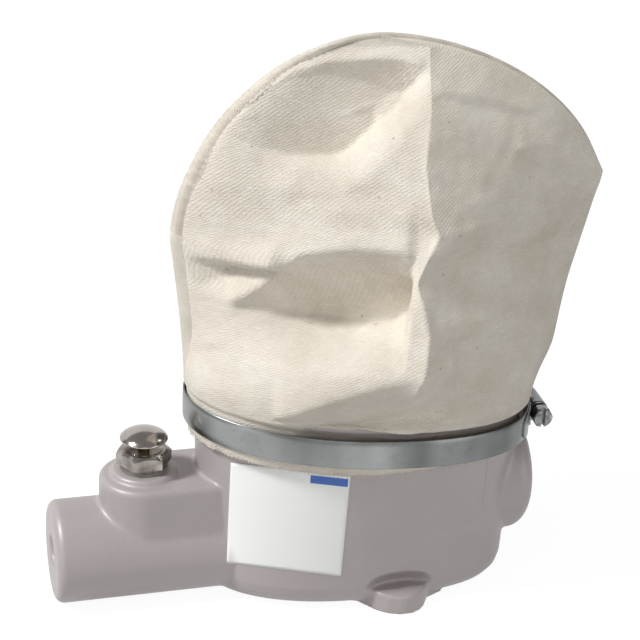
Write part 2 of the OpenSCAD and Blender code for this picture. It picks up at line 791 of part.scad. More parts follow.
module jet_nut() {
    color([0.62, 0.63, 0.64])
    translate([spot_x, 0, port_z]) rotate([0, 90, 0]) difference() {
        cylinder(d = nut_d, h = nut_t, $fn = 6);
        translate([0, 0, -over]) cylinder(r = tube_d / 2 + run_gap, h = nut_t + 2 * over);
    }
}

module mixing_block() {
    end_x = block_x + block_len;
    color([0.58, 0.58, 0.60])
    difference() {
        union() {
            along_x(block_x, end_x, block_d / 2, port_z);
            translate([pickup_x, 0, port_z - block_d / 2 - pickup_wall])
                cylinder(r = pickup_d / 2 + pickup_wall, h = block_d / 2);
        }
        along_x(block_x - over, chamber_from + over, tube_d / 2 + run_gap, port_z);
        along_x(chamber_from, chamber_to, mix_r, port_z);
        along_x(chamber_to - over, end_x + over, blast_d / 2 + run_gap, port_z);
        translate([pickup_x, 0, port_z - block_d]) cylinder(r = pickup_d / 2 + run_gap, h = block_d);
        for (x = [block_x + block_screw_in, end_x - block_screw_in])
            translate([x, 0, port_z]) cylinder(r = block_screw_d / 2 + run_gap, h = block_d);
    }
}

module block_screws() {
    color([0.45, 0.45, 0.47])
    for (s = [[block_screw_in, tube_d / 2], [block_len - block_screw_in, blast_d / 2]])
        translate([block_x + s[0], 0, port_z + s[1] + face_gap]) {
            cylinder(d = block_screw_d, h = block_d / 2 + 2 * block_flat - s[1]);
            translate([0, 0, block_d / 2 + block_flat - s[1]]) difference() {
                cylinder(d = block_head_af / cos(30), h = block_head_h, $fn = 6);
                translate([0, 0, block_head_h - block_socket_h / 2])
                    cylinder(d = block_screw_d, h = block_socket_h);
            }
        }
}

module pickup_tube() {
    top_z = port_z - mix_r - face_gap;
    low_z = floor_t + pickup_gap;
    color([0.75, 0.62, 0.34])
    translate([pickup_x, 0, 0]) difference() {
        translate([0, 0, low_z]) cylinder(d = pickup_d, h = top_z - low_z);
        translate([0, 0, low_z - over]) cylinder(d = pickup_d - 2 * pickup_t, h = top_z - low_z + 2 * over);
        translate([0, 0, low_z]) rotate([0, 30, 0]) translate([-pickup_d, -pickup_d, -pickup_d])
            cube([2 * pickup_d, 2 * pickup_d, pickup_d]);
    }
}

module blast_tube() {
    from_x = chamber_to + face_gap;
    to_x = nozzle_x + nozzle_grip;
    color([0.55, 0.56, 0.58])
    difference() {
        along_x(from_x, to_x, blast_d / 2, port_z);
        along_x(from_x - over, to_x + over, blast_bore / 2, port_z);
    }
}

module blast_nozzle() {
    color([0.90, 0.88, 0.84])
    translate([nozzle_x, 0, port_z]) rotate([0, 90, 0]) difference() {
        round_end(nozzle_d / 2, nozzle_len, 2.5);
        translate([0, 0, -over]) cylinder(r = blast_d / 2 + run_gap, h = nozzle_grip + over + face_gap);
        cylinder(d = nozzle_bore, h = nozzle_len + over);
    }
}

module plug_adapter() {
    color([0.13, 0.13, 0.13])
    translate([socket_x, 0, port_z]) rotate([0, 90, 0]) difference() {
        cylinder(r = socket_d / 2 - 2 * run_gap, h = adapter_t);
        translate([0, 0, -over]) cylinder(d = plug_hole_d, h = adapter_t + 2 * over);
        translate([0, 0, adapter_t - 2]) cylinder(d1 = plug_hole_d, d2 = plug_hole_d + 5, h = 2.5);
    }
}

module adapter_washer() {
    color([0.70, 0.71, 0.72])
    translate([socket_x + adapter_t, 0, port_z]) rotate([0, 90, 0]) difference() {
        cylinder(r = socket_d / 2 - 2 * run_gap, h = cover_t);
        translate([0, 0, -over]) cylinder(d = ring_hole_d, h = cover_t + 2 * over);
    }
}

module port_ring() {
    color([0.66, 0.66, 0.67])
    translate([port_reach - 0.3 - ring_t, 0, port_z]) rotate([0, 90, 0]) difference() {
        cylinder(r = socket_d / 2 - run_gap, h = ring_t);
        translate([0, 0, -over]) cylinder(d = ring_hole_d, h = ring_t + 2 * over);
        for (side = [-1, 1]) translate([side * (ring_hole_d + socket_d) / 4, 0, ring_t - 2])
            cylinder(d = 4, h = 3);
    }
}

body_casting();
inlet_casting();
filter_bag();
clamp_band();
clamp_housing();
clamp_screw();
push_button();
valve_stem();
poppet_disc();
valve_spring();
valve_bushing();
bushing_gasket();
stem_seal();
seat_gasket();
air_tube();
jet_nut();
mixing_block();
block_screws();
pickup_tube();
blast_tube();
blast_nozzle();
plug_adapter();
adapter_washer();
port_ring();
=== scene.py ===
# %% [markdown]
# # An air-blast spark plug cleaner
# The tool is a cast bowl of abrasive with a push-button air valve on its left, a plug port on its right
# and a cotton bag over its mouth. The bag lets the air out and keeps the dust in.
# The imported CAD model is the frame: every piece made here sits where the CAD says, in metres.

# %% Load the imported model
import json
import math

import bmesh
import bpy
from mathutils import Matrix, Vector, kdtree, noise
from mathutils.bvhtree import BVHTree


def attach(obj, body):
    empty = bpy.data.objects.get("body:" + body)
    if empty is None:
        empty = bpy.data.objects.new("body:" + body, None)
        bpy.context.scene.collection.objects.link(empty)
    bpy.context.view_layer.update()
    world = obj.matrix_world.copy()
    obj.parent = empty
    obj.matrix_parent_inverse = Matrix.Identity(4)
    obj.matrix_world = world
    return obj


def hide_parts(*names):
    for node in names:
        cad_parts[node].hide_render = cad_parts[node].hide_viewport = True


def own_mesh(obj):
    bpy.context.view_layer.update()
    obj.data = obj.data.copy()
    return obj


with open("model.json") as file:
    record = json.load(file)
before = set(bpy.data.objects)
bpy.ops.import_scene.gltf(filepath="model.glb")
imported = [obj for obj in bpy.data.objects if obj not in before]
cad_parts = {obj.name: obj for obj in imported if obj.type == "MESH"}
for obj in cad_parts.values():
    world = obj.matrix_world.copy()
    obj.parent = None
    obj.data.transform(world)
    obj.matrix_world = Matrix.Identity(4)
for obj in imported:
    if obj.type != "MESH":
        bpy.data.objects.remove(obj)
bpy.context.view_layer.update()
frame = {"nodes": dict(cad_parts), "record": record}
MM = 0.001

# %% [markdown]
# ## The camera
# The picture was taken from the front, a little to the left and from above, with a long lens.
# The camera's place and turn were worked out beforehand from the object's straight and round edges.
# `pixel` says where a point lands in the 640 by 640 picture, and `sight_line` is the ray of a pixel.

# %% Place the camera
FRAME_PX = 640
FOCAL_PX = 1762.4
EYE = Vector((-0.2160, -0.6544, 0.4217))
RIGHT = Vector((0.96188, -0.26978, 0.04545)).normalized()
UP = Vector((0.06841, 0.39804, 0.91484)).normalized()
BACK = RIGHT.cross(UP)

lens = bpy.data.cameras.new("camera")
lens.sensor_width = 36
lens.lens = FOCAL_PX * lens.sensor_width / FRAME_PX
camera = bpy.data.objects.new("camera", lens)
camera.matrix_world = Matrix.Translation(EYE) @ Matrix((RIGHT, UP, BACK)).transposed().to_4x4()
bpy.context.scene.collection.objects.link(camera)
bpy.context.scene.camera = camera


def pixel(point):
    """Where a point in metres lands in the picture."""
    v = point - EYE
    depth = -v.dot(BACK)
    return (FRAME_PX / 2 + FOCAL_PX * v.dot(RIGHT) / depth, FRAME_PX / 2 - FOCAL_PX * v.dot(UP) / depth)


def sight_line(px, py):
    """The direction from the camera through a pixel."""
    return (RIGHT * (px - FRAME_PX / 2) + UP * (FRAME_PX / 2 - py) - BACK * FOCAL_PX).normalized()


print("The bowl's middle lands at pixel", [round(v) for v in pixel(Vector((0, -0.04, 0.04)))])

# %% [markdown]
# ## Shader sums
# A material's pattern is a chain of Math nodes. Written out one by one they hide the idea, so a small
# class wraps a socket and lets plain Python signs make the nodes: `1 - mask * 0.5` is two Math nodes.


# %% Let plain signs make Math nodes
class Shade:
    """One output socket in a material. A sum on it adds a Math node."""

    def __init__(self, paint, socket):
        self.paint, self.socket = paint, socket

    def maths(self, kind, first, second=0.0):
        return self.paint.add("ShaderNodeMath", {"operation": kind}, {0: first, 1: second})

    def __add__(self, other):
        return self.maths("ADD", self, other)

    def __sub__(self, other):
        return self.maths("SUBTRACT", self, other)

    def __rsub__(self, other):
        return self.maths("SUBTRACT", other, self)

    def __mul__(self, other):
        return self.maths("MULTIPLY", self, other)

    def __gt__(self, other):
        return self.maths("GREATER_THAN", self, other)

    def __lt__(self, other):
        return self.maths("LESS_THAN", self, other)

    def sine(self):
        return self.maths("SINE", self)

    def bounded(self):
        return self.paint.add("ShaderNodeClamp", {}, {"Value": self})

    __radd__ = __add__
    __rmul__ = __mul__


# %% [markdown]
# ## A material
# `Paint` holds one material, and its `add` makes every other kind of node. The patterns that come back
# in one finish after another, noise, cells, ramps, blends and bumps, are methods of its own, so that a
# finish takes a few short lines. A value that is the same all over goes on the shader's own socket.


# %% Wrap a material
class Paint:
    """A material with one Principled shader, whose steady values are set on its sockets."""

    def __init__(self, name, **steady):
        self.material = bpy.data.materials.new(name)
        self.material.use_nodes = True
        self.tree = self.material.node_tree
        self.shader = self.tree.nodes["Principled BSDF"]
        for socket, value in steady.items():
            self.shader.inputs[socket.replace("_", " ")].default_value = value

    def add(self, kind, settings, values, out=0):
        """A node of any kind: its settings first, then the values or links of its sockets."""
        made = self.tree.nodes.new(kind)
        for name, setting in settings.items():
            if name == "stops":
                self.set_stops(made.color_ramp, setting)
            else:
                setattr(made, name, setting)
        for key, value in values.items():
            self.feed(made.inputs[key], value)
        return Shade(self, made.outputs[out])

    def feed(self, socket, value):
        if isinstance(value, Shade):
            self.tree.links.new(value.socket, socket)
        else:
            socket.default_value = value

    def set_stops(self, ramp, stops):
        while len(ramp.elements) < len(stops):
            ramp.elements.new(0.5)
        for element, (place, level) in zip(ramp.elements, stops):
            element.position = place
            element.color = (level, level, level, 1)

    def where(self):
        """The point on the piece, in metres."""
        return self.add("ShaderNodeTexCoord", {}, {}, "Object")

    def along(self, stretch):
        """The point, with each direction scaled."""
        return self.add("ShaderNodeMapping", {}, {"Vector": self.where(), "Scale": stretch})

    def axes(self, vector):
        """The three parts of a vector."""
        first = self.add("ShaderNodeSeparateXYZ", {}, {"Vector": vector})
        return [Shade(self, socket) for socket in first.socket.node.outputs]

    def cloud(self, vector, scale, detail=3.0, rough=0.55):
        values = {"Vector": vector, "Scale": scale, "Detail": detail, "Roughness": rough}
        return self.add("ShaderNodeTexNoise", {}, values)

    def cells(self, vector, scale):
        return self.add("ShaderNodeTexVoronoi", {}, {"Vector": vector, "Scale": scale})

    def ramp(self, value, *stops):
        return self.add("ShaderNodeValToRGB", {"stops": stops}, {"Fac": value})

    def blend(self, share, first, second):
        """A colour between two, by a share."""
        return self.add("ShaderNodeMix", {"data_type": "RGBA"}, {0: share, 6: first, 7: second}, 2)

    def relief(self, height, depth, under=None):
        """A bump of a height from 0 to 1 that is `depth` metres deep."""
        values = {"Height": height, "Distance": depth}
        if under:
            values["Normal"] = under
        return self.add("ShaderNodeBump", {}, values)

    def finish(self, **varying):
        """Feeds what changes over the surface to the shader."""
        for socket, value in varying.items():
            self.feed(self.shader.inputs[socket.replace("_", " ")], value)
        return self.material


def tint(red, green, blue):
    """A colour written as on a screen, 0 to 255, as the shader's own numbers."""
    return tuple((v / 255) ** 2.2 for v in (red, green, blue)) + (1.0,)


print("A mid grey of 128 is", round(tint(128, 128, 128)[0], 3), "to the shader")

# %% [markdown]
# ## Painted aluminium
# The casting is sand-cast and sprayed a warm satin grey. Up close the spray lies over a fine sandy
# skin and gathers slightly darker in the hollows. Two clouds of noise shift the tone, fine grain
# feeds the bump, and the roughness wanders so that highlights are not perfectly even.

# %% Mix the casting's paint
def casting_paint():
    paint = Paint("cast_paint", Metallic=0.15, IOR=1.5)
    spot = paint.where()
    drift = paint.cloud(spot, 22, 4)
    grain = paint.cloud(spot, 900, 2)
    pits = paint.ramp(paint.cells(spot, 420), (0.0, 0.0), (0.16, 1.0))
    tone = (drift * 0.5 + grain * 0.16).bounded()
    colour = paint.blend(tone, tint(180, 172, 171), tint(154, 146, 146))
    # painted glints: light specks in the colour stand in for light glinting off metal flake in the paint
    painted_flake_glints = paint.ramp(paint.cloud(spot, 2400, 1), (0.6, 0.0), (0.72, 1.0))
    colour = paint.blend(painted_flake_glints * 0.25, colour, tint(205, 200, 198))
    skin = paint.relief(grain, 0.05 * MM)
    skin = paint.relief(pits, 0.03 * MM, skin)
    return paint.finish(Base_Color=colour, Roughness=drift * 0.16 + 0.36, Normal=skin)


# %% [markdown]
# ## Cotton twill
# Twill is woven so that each thread passes over two and steps sideways one row at a time, which
# draws fine diagonal ribs. The pattern must run along the cloth, so it reads the piece's own UV map,
# in metres. Noise bends the ribs and lets them fade, because woven cotton is never quite even.
# Unbleached cotton also has thick slubs and dark flecks of seed. Where the cloth comes out of the clamp's
# band, a dark brown is painted in as the shade of the groove behind the band's top edge.

# %% Weave the twill
BAND_W, BAND_Z, FALL = 12.7, 81.8, math.tan(math.radians(3.9))
BAND_TOP = BAND_Z + BAND_W / 2
RIB_MM, THREAD_MM, FLOAT_MM = 1.3, 0.7, 2.6


def waves(along, pitch, bend):
    """Even waves from 0 to 1, of a pitch in millimetres, that a noise bends."""
    return (along * (2 * math.pi / (pitch * MM)) + bend).sine() * 0.5 + 0.5


def painted_groove_shade(paint):
    """How much painted shade darkens the cloth just over the band, where the groove is in shadow. There is
    none at the far left.
    """
    x, _, z = paint.axes(paint.where())
    over_band = (z + x * FALL) * (1 / MM) - BAND_TOP
    thins_upward = ((3.2 - over_band) * 0.6).bounded()
    ends_under_band = ((over_band + 6) * 0.5).bounded()
    return thins_upward * ends_under_band * (x * 30 + 1.9).bounded()


def twill(name, light, shade):
    paint = Paint(name, Roughness=0.95, Sheen_Weight=0.15, Sheen_Roughness=0.7)
    cloth = paint.add("ShaderNodeUVMap", {"uv_map": "cloth"}, {})
    across, up, _ = paint.axes(cloth)
    wander = paint.cloud(cloth, 150, 2) * 6 + paint.cloud(cloth, 900, 2) * 7
    gauge = paint.cloud(cloth, 520, 2)
    ribs = waves(across * 0.55 - up * 0.84, RIB_MM, wander)
    floats = waves(across * 0.84 + up * 0.55, FLOAT_MM, wander * 1.7)
    ribs = ribs * (floats * 0.5 + 0.5) * (gauge * 1.5 + 0.1)
    threads = waves(across, THREAD_MM, wander)
    fuzz = paint.cloud(cloth, 2600, 3)
    long_way = paint.add("ShaderNodeMapping", {}, {"Vector": cloth, "Scale": (1.0, 6.0, 1.0)})
    slubs = paint.ramp(paint.cloud(long_way, 190, 3), (0.52, 0.0), (0.72, 1.0))
    stain = paint.cloud(cloth, 34, 5, 0.65)
    flecks = paint.ramp(paint.cells(cloth, 95), (0.03, 1.0), (0.065, 0.0))
    tone = (ribs * 0.2 + threads * 0.08 + stain * 1.3 + slubs * 0.2 + fuzz * 0.4 - 0.67).bounded()
    colour = paint.blend(tone, shade, light)
    colour = paint.blend(flecks * 0.55, colour, tint(118, 106, 92))
    # painted shade: the cloth just over the band is darkened towards a dark brown
    colour = paint.blend(painted_groove_shade(paint) * 0.8, colour, tint(78, 68, 58))
    surface = paint.relief(ribs * 0.6 + threads * 0.1 + fuzz * 0.55 + slubs * 0.35, 0.25 * MM)
    return paint.finish(Base_Color=colour, Normal=surface)


# %% [markdown]
# ## Metals
# Zinc plating is a bluish grey with soft blotches and fine rolling lines. On the band and on the valve's
# turned hex the darker blotches are partly painted reflection, standing in for dark surroundings mirrored
# in the metal. Chrome is smooth and bright, and what makes it look real is what it mirrors. Turned parts
# carry fine rings round their axis. One recipe makes them all, with its own colour, roughness, blotches
# and lines.


# %% Plate and polish the metals
def metal(name, colour, dark, rough, patch_scale=40, stretch=(1, 1, 1), depth=0.02):
    paint = Paint(name, Metallic=1.0)
    spot = paint.along(stretch)
    patches = paint.cloud(spot, patch_scale, 2)
    lines = paint.cloud(paint.along(tuple(v * 14 for v in stretch)), 60, 2)
    # blotches; on the zinc band and the valve's hex they are partly painted reflection
    blotches_and_painted_reflections = paint.ramp(patches, (0.35, 0.0), (0.7, 1.0))
    grime = paint.ramp(paint.cloud(paint.where(), 210, 3), (0.55, 0.0), (0.8, 1.0))
    dirt = tuple(v * 0.5 for v in dark[:3]) + (1.0,)
    shown = paint.blend(grime * 0.25, paint.blend(blotches_and_painted_reflections, colour, dark), dirt)
    return paint.finish(Base_Color=shown, Roughness=lines * 0.12 + patches * 0.1 + rough,
                        Normal=paint.relief(lines, depth * MM))


def moulded(name, colour, dark, rough, scale, depth, **steady):
    """Rubber, fibre, paper and ceramic: a mottled tone with a fine grain."""
    paint = Paint(name, **steady)
    spot = paint.where()
    grain = paint.cloud(spot, scale, 3)
    patches = paint.cloud(spot, scale / 18, 3)
    shown = paint.blend((patches * 0.7 + grain * 0.3).bounded(), colour, dark)
    return paint.finish(Base_Color=shown, Roughness=grain * 0.15 + rough,
                        Normal=paint.relief(grain, depth * MM))


# %% [markdown]
# ### One finish for each slot
# The record gives every CAD node a material slot. The finishes are made once, in a table that follows
# the slots, and each node is painted from it. Pieces made later take theirs from the same table.

# %% Give every CAD node its finish
FINISH = {
    "casting": casting_paint(),
    "bag_cloth": twill("bag_twill", tint(250, 245, 236), tint(206, 196, 180)),
    # the zinc's darker blotches are partly painted reflection, standing in for dark surroundings mirrored
    # in the band
    "clamp_steel": metal("zinc", tint(158, 161, 160), tint(96, 100, 98), 0.22, 26, (1, 1, 0.25)),
    "clamp_screw_steel": metal("dull_zinc", tint(165, 166, 168), tint(96, 96, 98), 0.28, 300),
    "button_chrome": metal("chrome", tint(180, 173, 168), tint(158, 150, 144), 0.07, 60, depth=0.004),
    # the large dark patches are partly painted reflection, standing in for the dark facets of the valve's
    # hex
    "gland_steel": metal("turned_plate", tint(176, 169, 164), tint(84, 78, 74), 0.12, 110, depth=0.01),
    "brass": metal("brass", tint(150, 130, 96), tint(92, 78, 58), 0.3, 90),
    "spring_steel": metal("spring_wire", tint(178, 178, 180), tint(120, 120, 124), 0.26, 300),
    "black_rubber": moulded("rubber", tint(46, 45, 44), tint(30, 30, 30), 0.55, 900, 0.05),
    "fibre_gasket": moulded("grey_fibre", tint(140, 137, 134), tint(104, 101, 98), 0.6, 1400, 0.05),
    "block_iron": metal("bar_iron", tint(140, 140, 142), tint(92, 92, 96), 0.34, 160),
    "dark_steel": metal("blackened_steel", tint(92, 92, 96), tint(52, 52, 56), 0.36, 200),
    "ceramic": moulded("fired_ceramic", tint(236, 230, 216), tint(214, 206, 190), 0.4, 1100, 0.03),
}

slot_of = {row["node"]: row["material_slot"] for row in frame["record"]["subparts"]}
for node, thing in frame["nodes"].items():
    thing.data.materials.clear()
    thing.data.materials.append(FINISH[slot_of[node]])
print(len(slot_of), "CAD nodes finished in", len(FINISH), "materials")

# %% [markdown]
# ## Making and placing a piece
# A bmesh becomes an object that rides on a CAD body and may stand for CAD nodes. Its mesh holds its
# place, so its object stays at the origin. A merged copy of a CAD node has its loose triangles joined,
# which lets Blender see its real edges.


# %% Helpers that make pieces
def piece(name, bm, slot, body="cleaner", stands_for=(), smooth=math.radians(35)):
    """Turns a bmesh into a finished object of the model."""
    mesh = bpy.data.meshes.new(name)
    bm.to_mesh(mesh)
    bm.free()
    made = bpy.data.objects.new(name, mesh)
    bpy.context.scene.collection.objects.link(made)
    mesh.shade_smooth()
    if smooth:
        mesh.set_sharp_from_angle(angle=smooth)
    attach(made, body)
    if slot:
        mesh.materials.append(FINISH[slot])
    if stands_for:
        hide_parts(*stands_for)
    return made


def merged_copy(*nodes):
    bm = bmesh.new()
    for node in nodes:
        bm.from_mesh(frame["nodes"][node].data)
    bmesh.ops.remove_doubles(bm, verts=bm.verts, dist=0.001 * MM)
    return bm


def evaluated(made):
    """The object's mesh with its modifiers worked out."""
    return bpy.data.meshes.new_from_object(made.evaluated_get(bpy.context.evaluated_depsgraph_get()))


def smoothstep(low, high, v):
    t = min(1, max(0, (v - low) / (high - low)))
    return t * t * (3 - 2 * t)


def level_at(line, x):
    """A broken line's height at x."""
    for (x0, y0), (x1, y1) in zip(line, line[1:]):
        if x <= x1:
            return y0 + (y1 - y0) * min(1, max(0, (x - x0) / (x1 - x0)))
    return line[-1][1]


# %% [markdown]
# ## The casting
# A sand casting has no sharp corners: where two forms meet the metal runs in a hollow fillet, and
# outer edges are softened. Bevels on such crossing forms break easily, so the CAD solid is rebuilt as
# an even skin of small faces, and the skin is relaxed, most of all along the hollow corners. Those
# corners are found on the CAD solid, where they are still sharp.

# %% Find the hollow corners
CAST_NODES = ["body_casting", "inlet_casting"]
VALVE_X, BARREL_Z, PORT_Z = -93.5 * MM, 22.25 * MM, 43.7 * MM
VALVE_BORE, INLET_BORE, PORT_BORE, SEAT_R = 9.8 * MM, 9 * MM, 19.5 * MM, 16 * MM
INLET_END, PORT_START, SEAT_LOW, BORE_HIGH = -60 * MM, 56 * MM, 55 * MM, 60 * MM


def in_a_bore(p):
    """True inside the machined holes, whose corners stay as they are."""
    from_valve = math.hypot(p.x - VALVE_X, p.y)
    valve = from_valve < VALVE_BORE and p.z < BORE_HIGH
    inlet = p.x < INLET_END and math.hypot(p.y, p.z - BARREL_Z) < INLET_BORE
    socket = p.x > PORT_START and math.hypot(p.y, p.z - PORT_Z) < PORT_BORE
    seat = from_valve < SEAT_R and p.z > SEAT_LOW
    return valve or inlet or socket or seat


def hollow_corners(bm):
    """Points a millimetre apart along the edges where two faces meet in a hollow."""
    spots = []
    for edge in bm.edges:
        if len(edge.link_faces) == 2 and edge.calc_face_angle_signed(0) < -0.35:
            a, b = (v.co for v in edge.verts)
            steps = max(1, int((b - a).length / MM))
            spots += [a.lerp(b, (k + 0.5) / steps) for k in range(steps)]
    return [p for p in spots if not in_a_bore(p)]


solid = merged_copy(*CAST_NODES)
corners = hollow_corners(solid)
print(len(corners), "points along the hollow corners")

# %% [markdown]
# ### The lugs
# A lug stands out at the foot of the bowl, front and back, and spreads where it meets the wall. Its
# outline is read off the picture, laid on the ground and drawn upward.

# %% Widen the lugs
LUG_PX = [(349, 598.5), (357, 601.5), (366, 606), (378, 611.5), (388, 614), (398, 614.8), (407, 614.5),
          (415, 612), (421, 608), (425, 603), (427, 598), (429, 594), (433, 590.5), (441, 586)]
LUG_TOP, LUG_TIP, LUG_ROOT, LUG_TILT = 7.1, 56, 30, 0.14


def lug_top(y):
    """The lug's top rises a little towards the wall."""
    return LUG_TOP + LUG_TILT * (LUG_TIP - abs(y))


def flare_lugs(bm):
    """Adds the wide foot of each lug, with a straight root inside the bowl's wall."""
    for side in (1, -1):
        rim = []
        for px, py in LUG_PX:
            ray = sight_line(px, py)
            spot = EYE - ray * (EYE.z / ray.z)
            rim.append(bm.verts.new((spot.x, side * spot.y, 0)))
        rim += [bm.verts.new((end.co.x, -side * LUG_ROOT * MM, 0)) for end in (rim[-1], rim[0])]
        foot = bmesh.ops.contextual_create(bm, geom=rim)["faces"]
        grown = bmesh.ops.extrude_face_region(bm, geom=foot)["geom"]
        top = [g for g in grown if isinstance(g, bmesh.types.BMVert)]
        for v in top:
            v.co.z = lug_top(v.co.y / MM) * MM
    bmesh.ops.holes_fill(bm, edges=[e for e in bm.edges if e.is_boundary], sides=0)
    bmesh.ops.recalc_face_normals(bm, faces=bm.faces)


flare_lugs(solid)
print("A lug is", LUG_TOP, "mm high at its tip and", round(lug_top(LUG_ROOT), 1), "mm at its root")

# %% [markdown]
# ### The hollow over a lug
# Over each lug the wall is hollowed to clear the lug's top. Both sides of the wall move in, so that the
# metal keeps its thickness. That stretches the faces, so the skin is rebuilt after it as before it.

# %% Hollow the wall over the lugs
HOLLOW_X, HOLLOW_HALF, HOLLOW_TALL, HOLLOW_DEEP = 12.5, 22, 17, 14
FLOOR_TOP, WALL, WALL_Y, WALL_LEAN = 7.0, 4.5, 47.5, 1.5
VOXEL = 0.6 * MM


def scoop(bm):
    """Hollows both sides of the wall over each lug, deepest at the foot of the hollow."""
    bm.normal_update()
    for v in bm.verts:
        inner = v.normal.y * v.co.y < 0
        foot = FLOOR_TOP - 0.5 if inner else lug_top(v.co.y / MM) + 0.4
        u, w = (v.co.x / MM - HOLLOW_X) / HOLLOW_HALF, (v.co.z / MM - foot) / HOLLOW_TALL
        if 0 < w < 1 and abs(u) < 1 and abs(v.co.y) > 20 * MM:
            inward = HOLLOW_DEEP * smoothstep(0, 1, 1 - w) * (1 - u * u) ** 0.7
            limit = (WALL_Y - w * WALL_LEAN - inward - WALL * inner) * MM
            if limit < abs(v.co.y):
                v.co.y = math.copysign(limit, v.co.y)


def even_skin(bm):
    """Rebuilds closed forms that overlap as one skin of small even faces."""
    mesh = bpy.data.meshes.new("body_skin")
    bm.to_mesh(mesh)
    bm.free()
    rough = bpy.data.objects.new("body_skin", mesh)
    bpy.context.scene.collection.objects.link(rough)
    remesh = rough.modifiers.new("skin", "REMESH")
    remesh.mode, remesh.voxel_size = "VOXEL", VOXEL
    skin = bmesh.new()
    skin.from_mesh(evaluated(rough))
    bpy.data.objects.remove(rough)
    return skin


skin = even_skin(solid)
scoop(skin)
skin = even_skin(skin)
print(len(skin.verts), "points in the skin")

# %% [markdown]
# ### Fillets
# Smoothing draws each point towards its neighbours. Along the hollow corners it is done many times, so
# that a fillet grows there, on the lugs a few times, and once everywhere. The even skin has more faces
# than the form needs, so it is thinned at the end.

# %% Relax and thin the skin


def on_a_lug(p):
    """A box round each lug and the hollow over it."""
    return abs(p.x - 13 * MM) < 30 * MM and abs(p.y) > 29 * MM and p.z < 19 * MM


def relax(bm, verts, passes=1):
    for _ in range(passes):
        bmesh.ops.smooth_vert(bm, verts=verts, factor=0.5,
                              use_axis_x=True, use_axis_y=True, use_axis_z=True)


tree = kdtree.KDTree(len(corners))
for k, spot in enumerate(corners):
    tree.insert(spot, k)
tree.balance()
near = [(tree.find(v.co)[2], v) for v in skin.verts]
for reach, passes in ((3.4, 5), (2.2, 10)):
    relax(skin, [v for gap, v in near if gap < reach * MM], passes)
relax(skin, [v for v in skin.verts if on_a_lug(v.co)], 3)
relax(skin, skin.verts)
body_tree = BVHTree.FromBMesh(skin)
body = piece("casting_shell", skin, "casting", stands_for=CAST_NODES, smooth=None)
thin = body.modifiers.new("fewer faces", "DECIMATE")
thin.ratio = 0.4
bpy.context.view_layer.update()
lean = evaluated(body)
body.modifiers.clear()
body.data = lean
lean.shade_smooth()
print("casting faces:", len(lean.polygons))

# %% [markdown]
# ## The bag
# The bag is two panels of twill, sewn round the edge with the seam outside, and stuffed out by air.
# It was folded in half once, so an upright crease stands out on its front. A lofted shell follows the
# outline, and its points are then pushed in and out along folds, as a sculptor would do.
# The outline comes first: how far the bag reaches to the left, to the right and to the front at each
# height, in millimetres, and where its crease stands.

# %% The bag's outline
LOOP_A, LOOP_B, LEFT_SQUARE, RIGHT_SQUARE = 75.614, 49.70, 2.0, 2.4
BAG_TOP, SHOULDER_Z, SHOULDER_X = 245.9, 161, 82.8
CORNER_Z, CORNER_X = 178, 103.3
BELLY_Y, BELLY_Z = 54, 115
SEAM_W, SEAM_TOP = 4.4, 1.8
NOSE, NOSE_Z = 2.2, 183
PX_PER_MM = 2.15


def crown(u, p):
    """Falls from 1 to 0 as u goes from 0 to 1, as the quarter of a rounded square does."""
    return max(0, 1 - min(1, max(0, u)) ** p) ** (1 / p)


def reach_left(z, sewn=0.0):
    """How far the bag reaches to the left. sewn is 0 at the seam's raw edge and 1 at its stitches."""
    wide, top = SHOULDER_X - SEAM_W * sewn, BAG_TOP - SEAM_TOP * sewn
    if z > SHOULDER_Z:
        return wide * crown((z - SHOULDER_Z) / (top - SHOULDER_Z), 1.83)
    share = max(0, (z - BAND_TOP) / (SHOULDER_Z - BAND_TOP))
    return LOOP_A + (SHOULDER_X - LOOP_A) * share**1.5 - SEAM_W * sewn * smoothstep(0.05, 0.5, share)


def reach_right(z, sewn=0.0):
    """How far the bag reaches to the right, where a corner of the cloth sticks out like a small nose."""
    top = BAG_TOP - SEAM_TOP * sewn
    nose = NOSE * math.exp(-abs(z - NOSE_Z) / 5)
    if z > CORNER_Z:
        return CORNER_X * crown((z - CORNER_Z) / (top - CORNER_Z), 1.77) + nose
    share = max(0, (z - BAND_TOP) / (CORNER_Z - BAND_TOP))
    return LOOP_A + (CORNER_X - LOOP_A) * share**0.66 + nose


def depth_at(z, sewn=0.0):
    """How far the bag's belly stands out to the front and to the back."""
    if z > BELLY_Z:
        share = min(1, (z - BELLY_Z) / (BAG_TOP - SEAM_TOP * sewn - BELLY_Z))
        return 1.0 + (BELLY_Y - 1.0) * (1 - share**1.6) ** 0.8
    share = max(0, (z - BAND_TOP) / (BELLY_Z - BAND_TOP))
    return LOOP_B + 2 + (BELLY_Y - LOOP_B - 2) * math.sin(math.pi / 2 * share)


# the crease in the picture: rows, and the column where it stands on each
CREASE = [(36, 425), (50, 432), (108, 432.7), (167, 427), (219, 433), (237, 440), (252, 433),
          (284, 418), (313, 424), (337, 428), (372, 421), (420, 405)]


def crease_x(z):
    """Where the upright crease lies at height z, so that it lands on its pixels."""
    x = 0.0
    for _ in range(4):
        px, py = pixel(Vector((x, -depth_at(z), z)) * MM)
        x += (level_at(CREASE, py) - px) / PX_PER_MM
    return x


print("The crease stands at", [(z, round(crease_x(z), 1)) for z in (110, 160, 210)])

# %% [markdown]
# ### The shell's section
# Low down the cloth follows the loop of the bowl's mouth, which is squarer at its right end. Higher up
# the section is two panels that meet in sharp edges left and right, with the front one bent along the
# crease, and one form passes into the other above the band. The section is worked out in quarters, left
# front, right front, right back and left back, each with an angle that is 0 at the middle of a panel.

# %% Work out the section


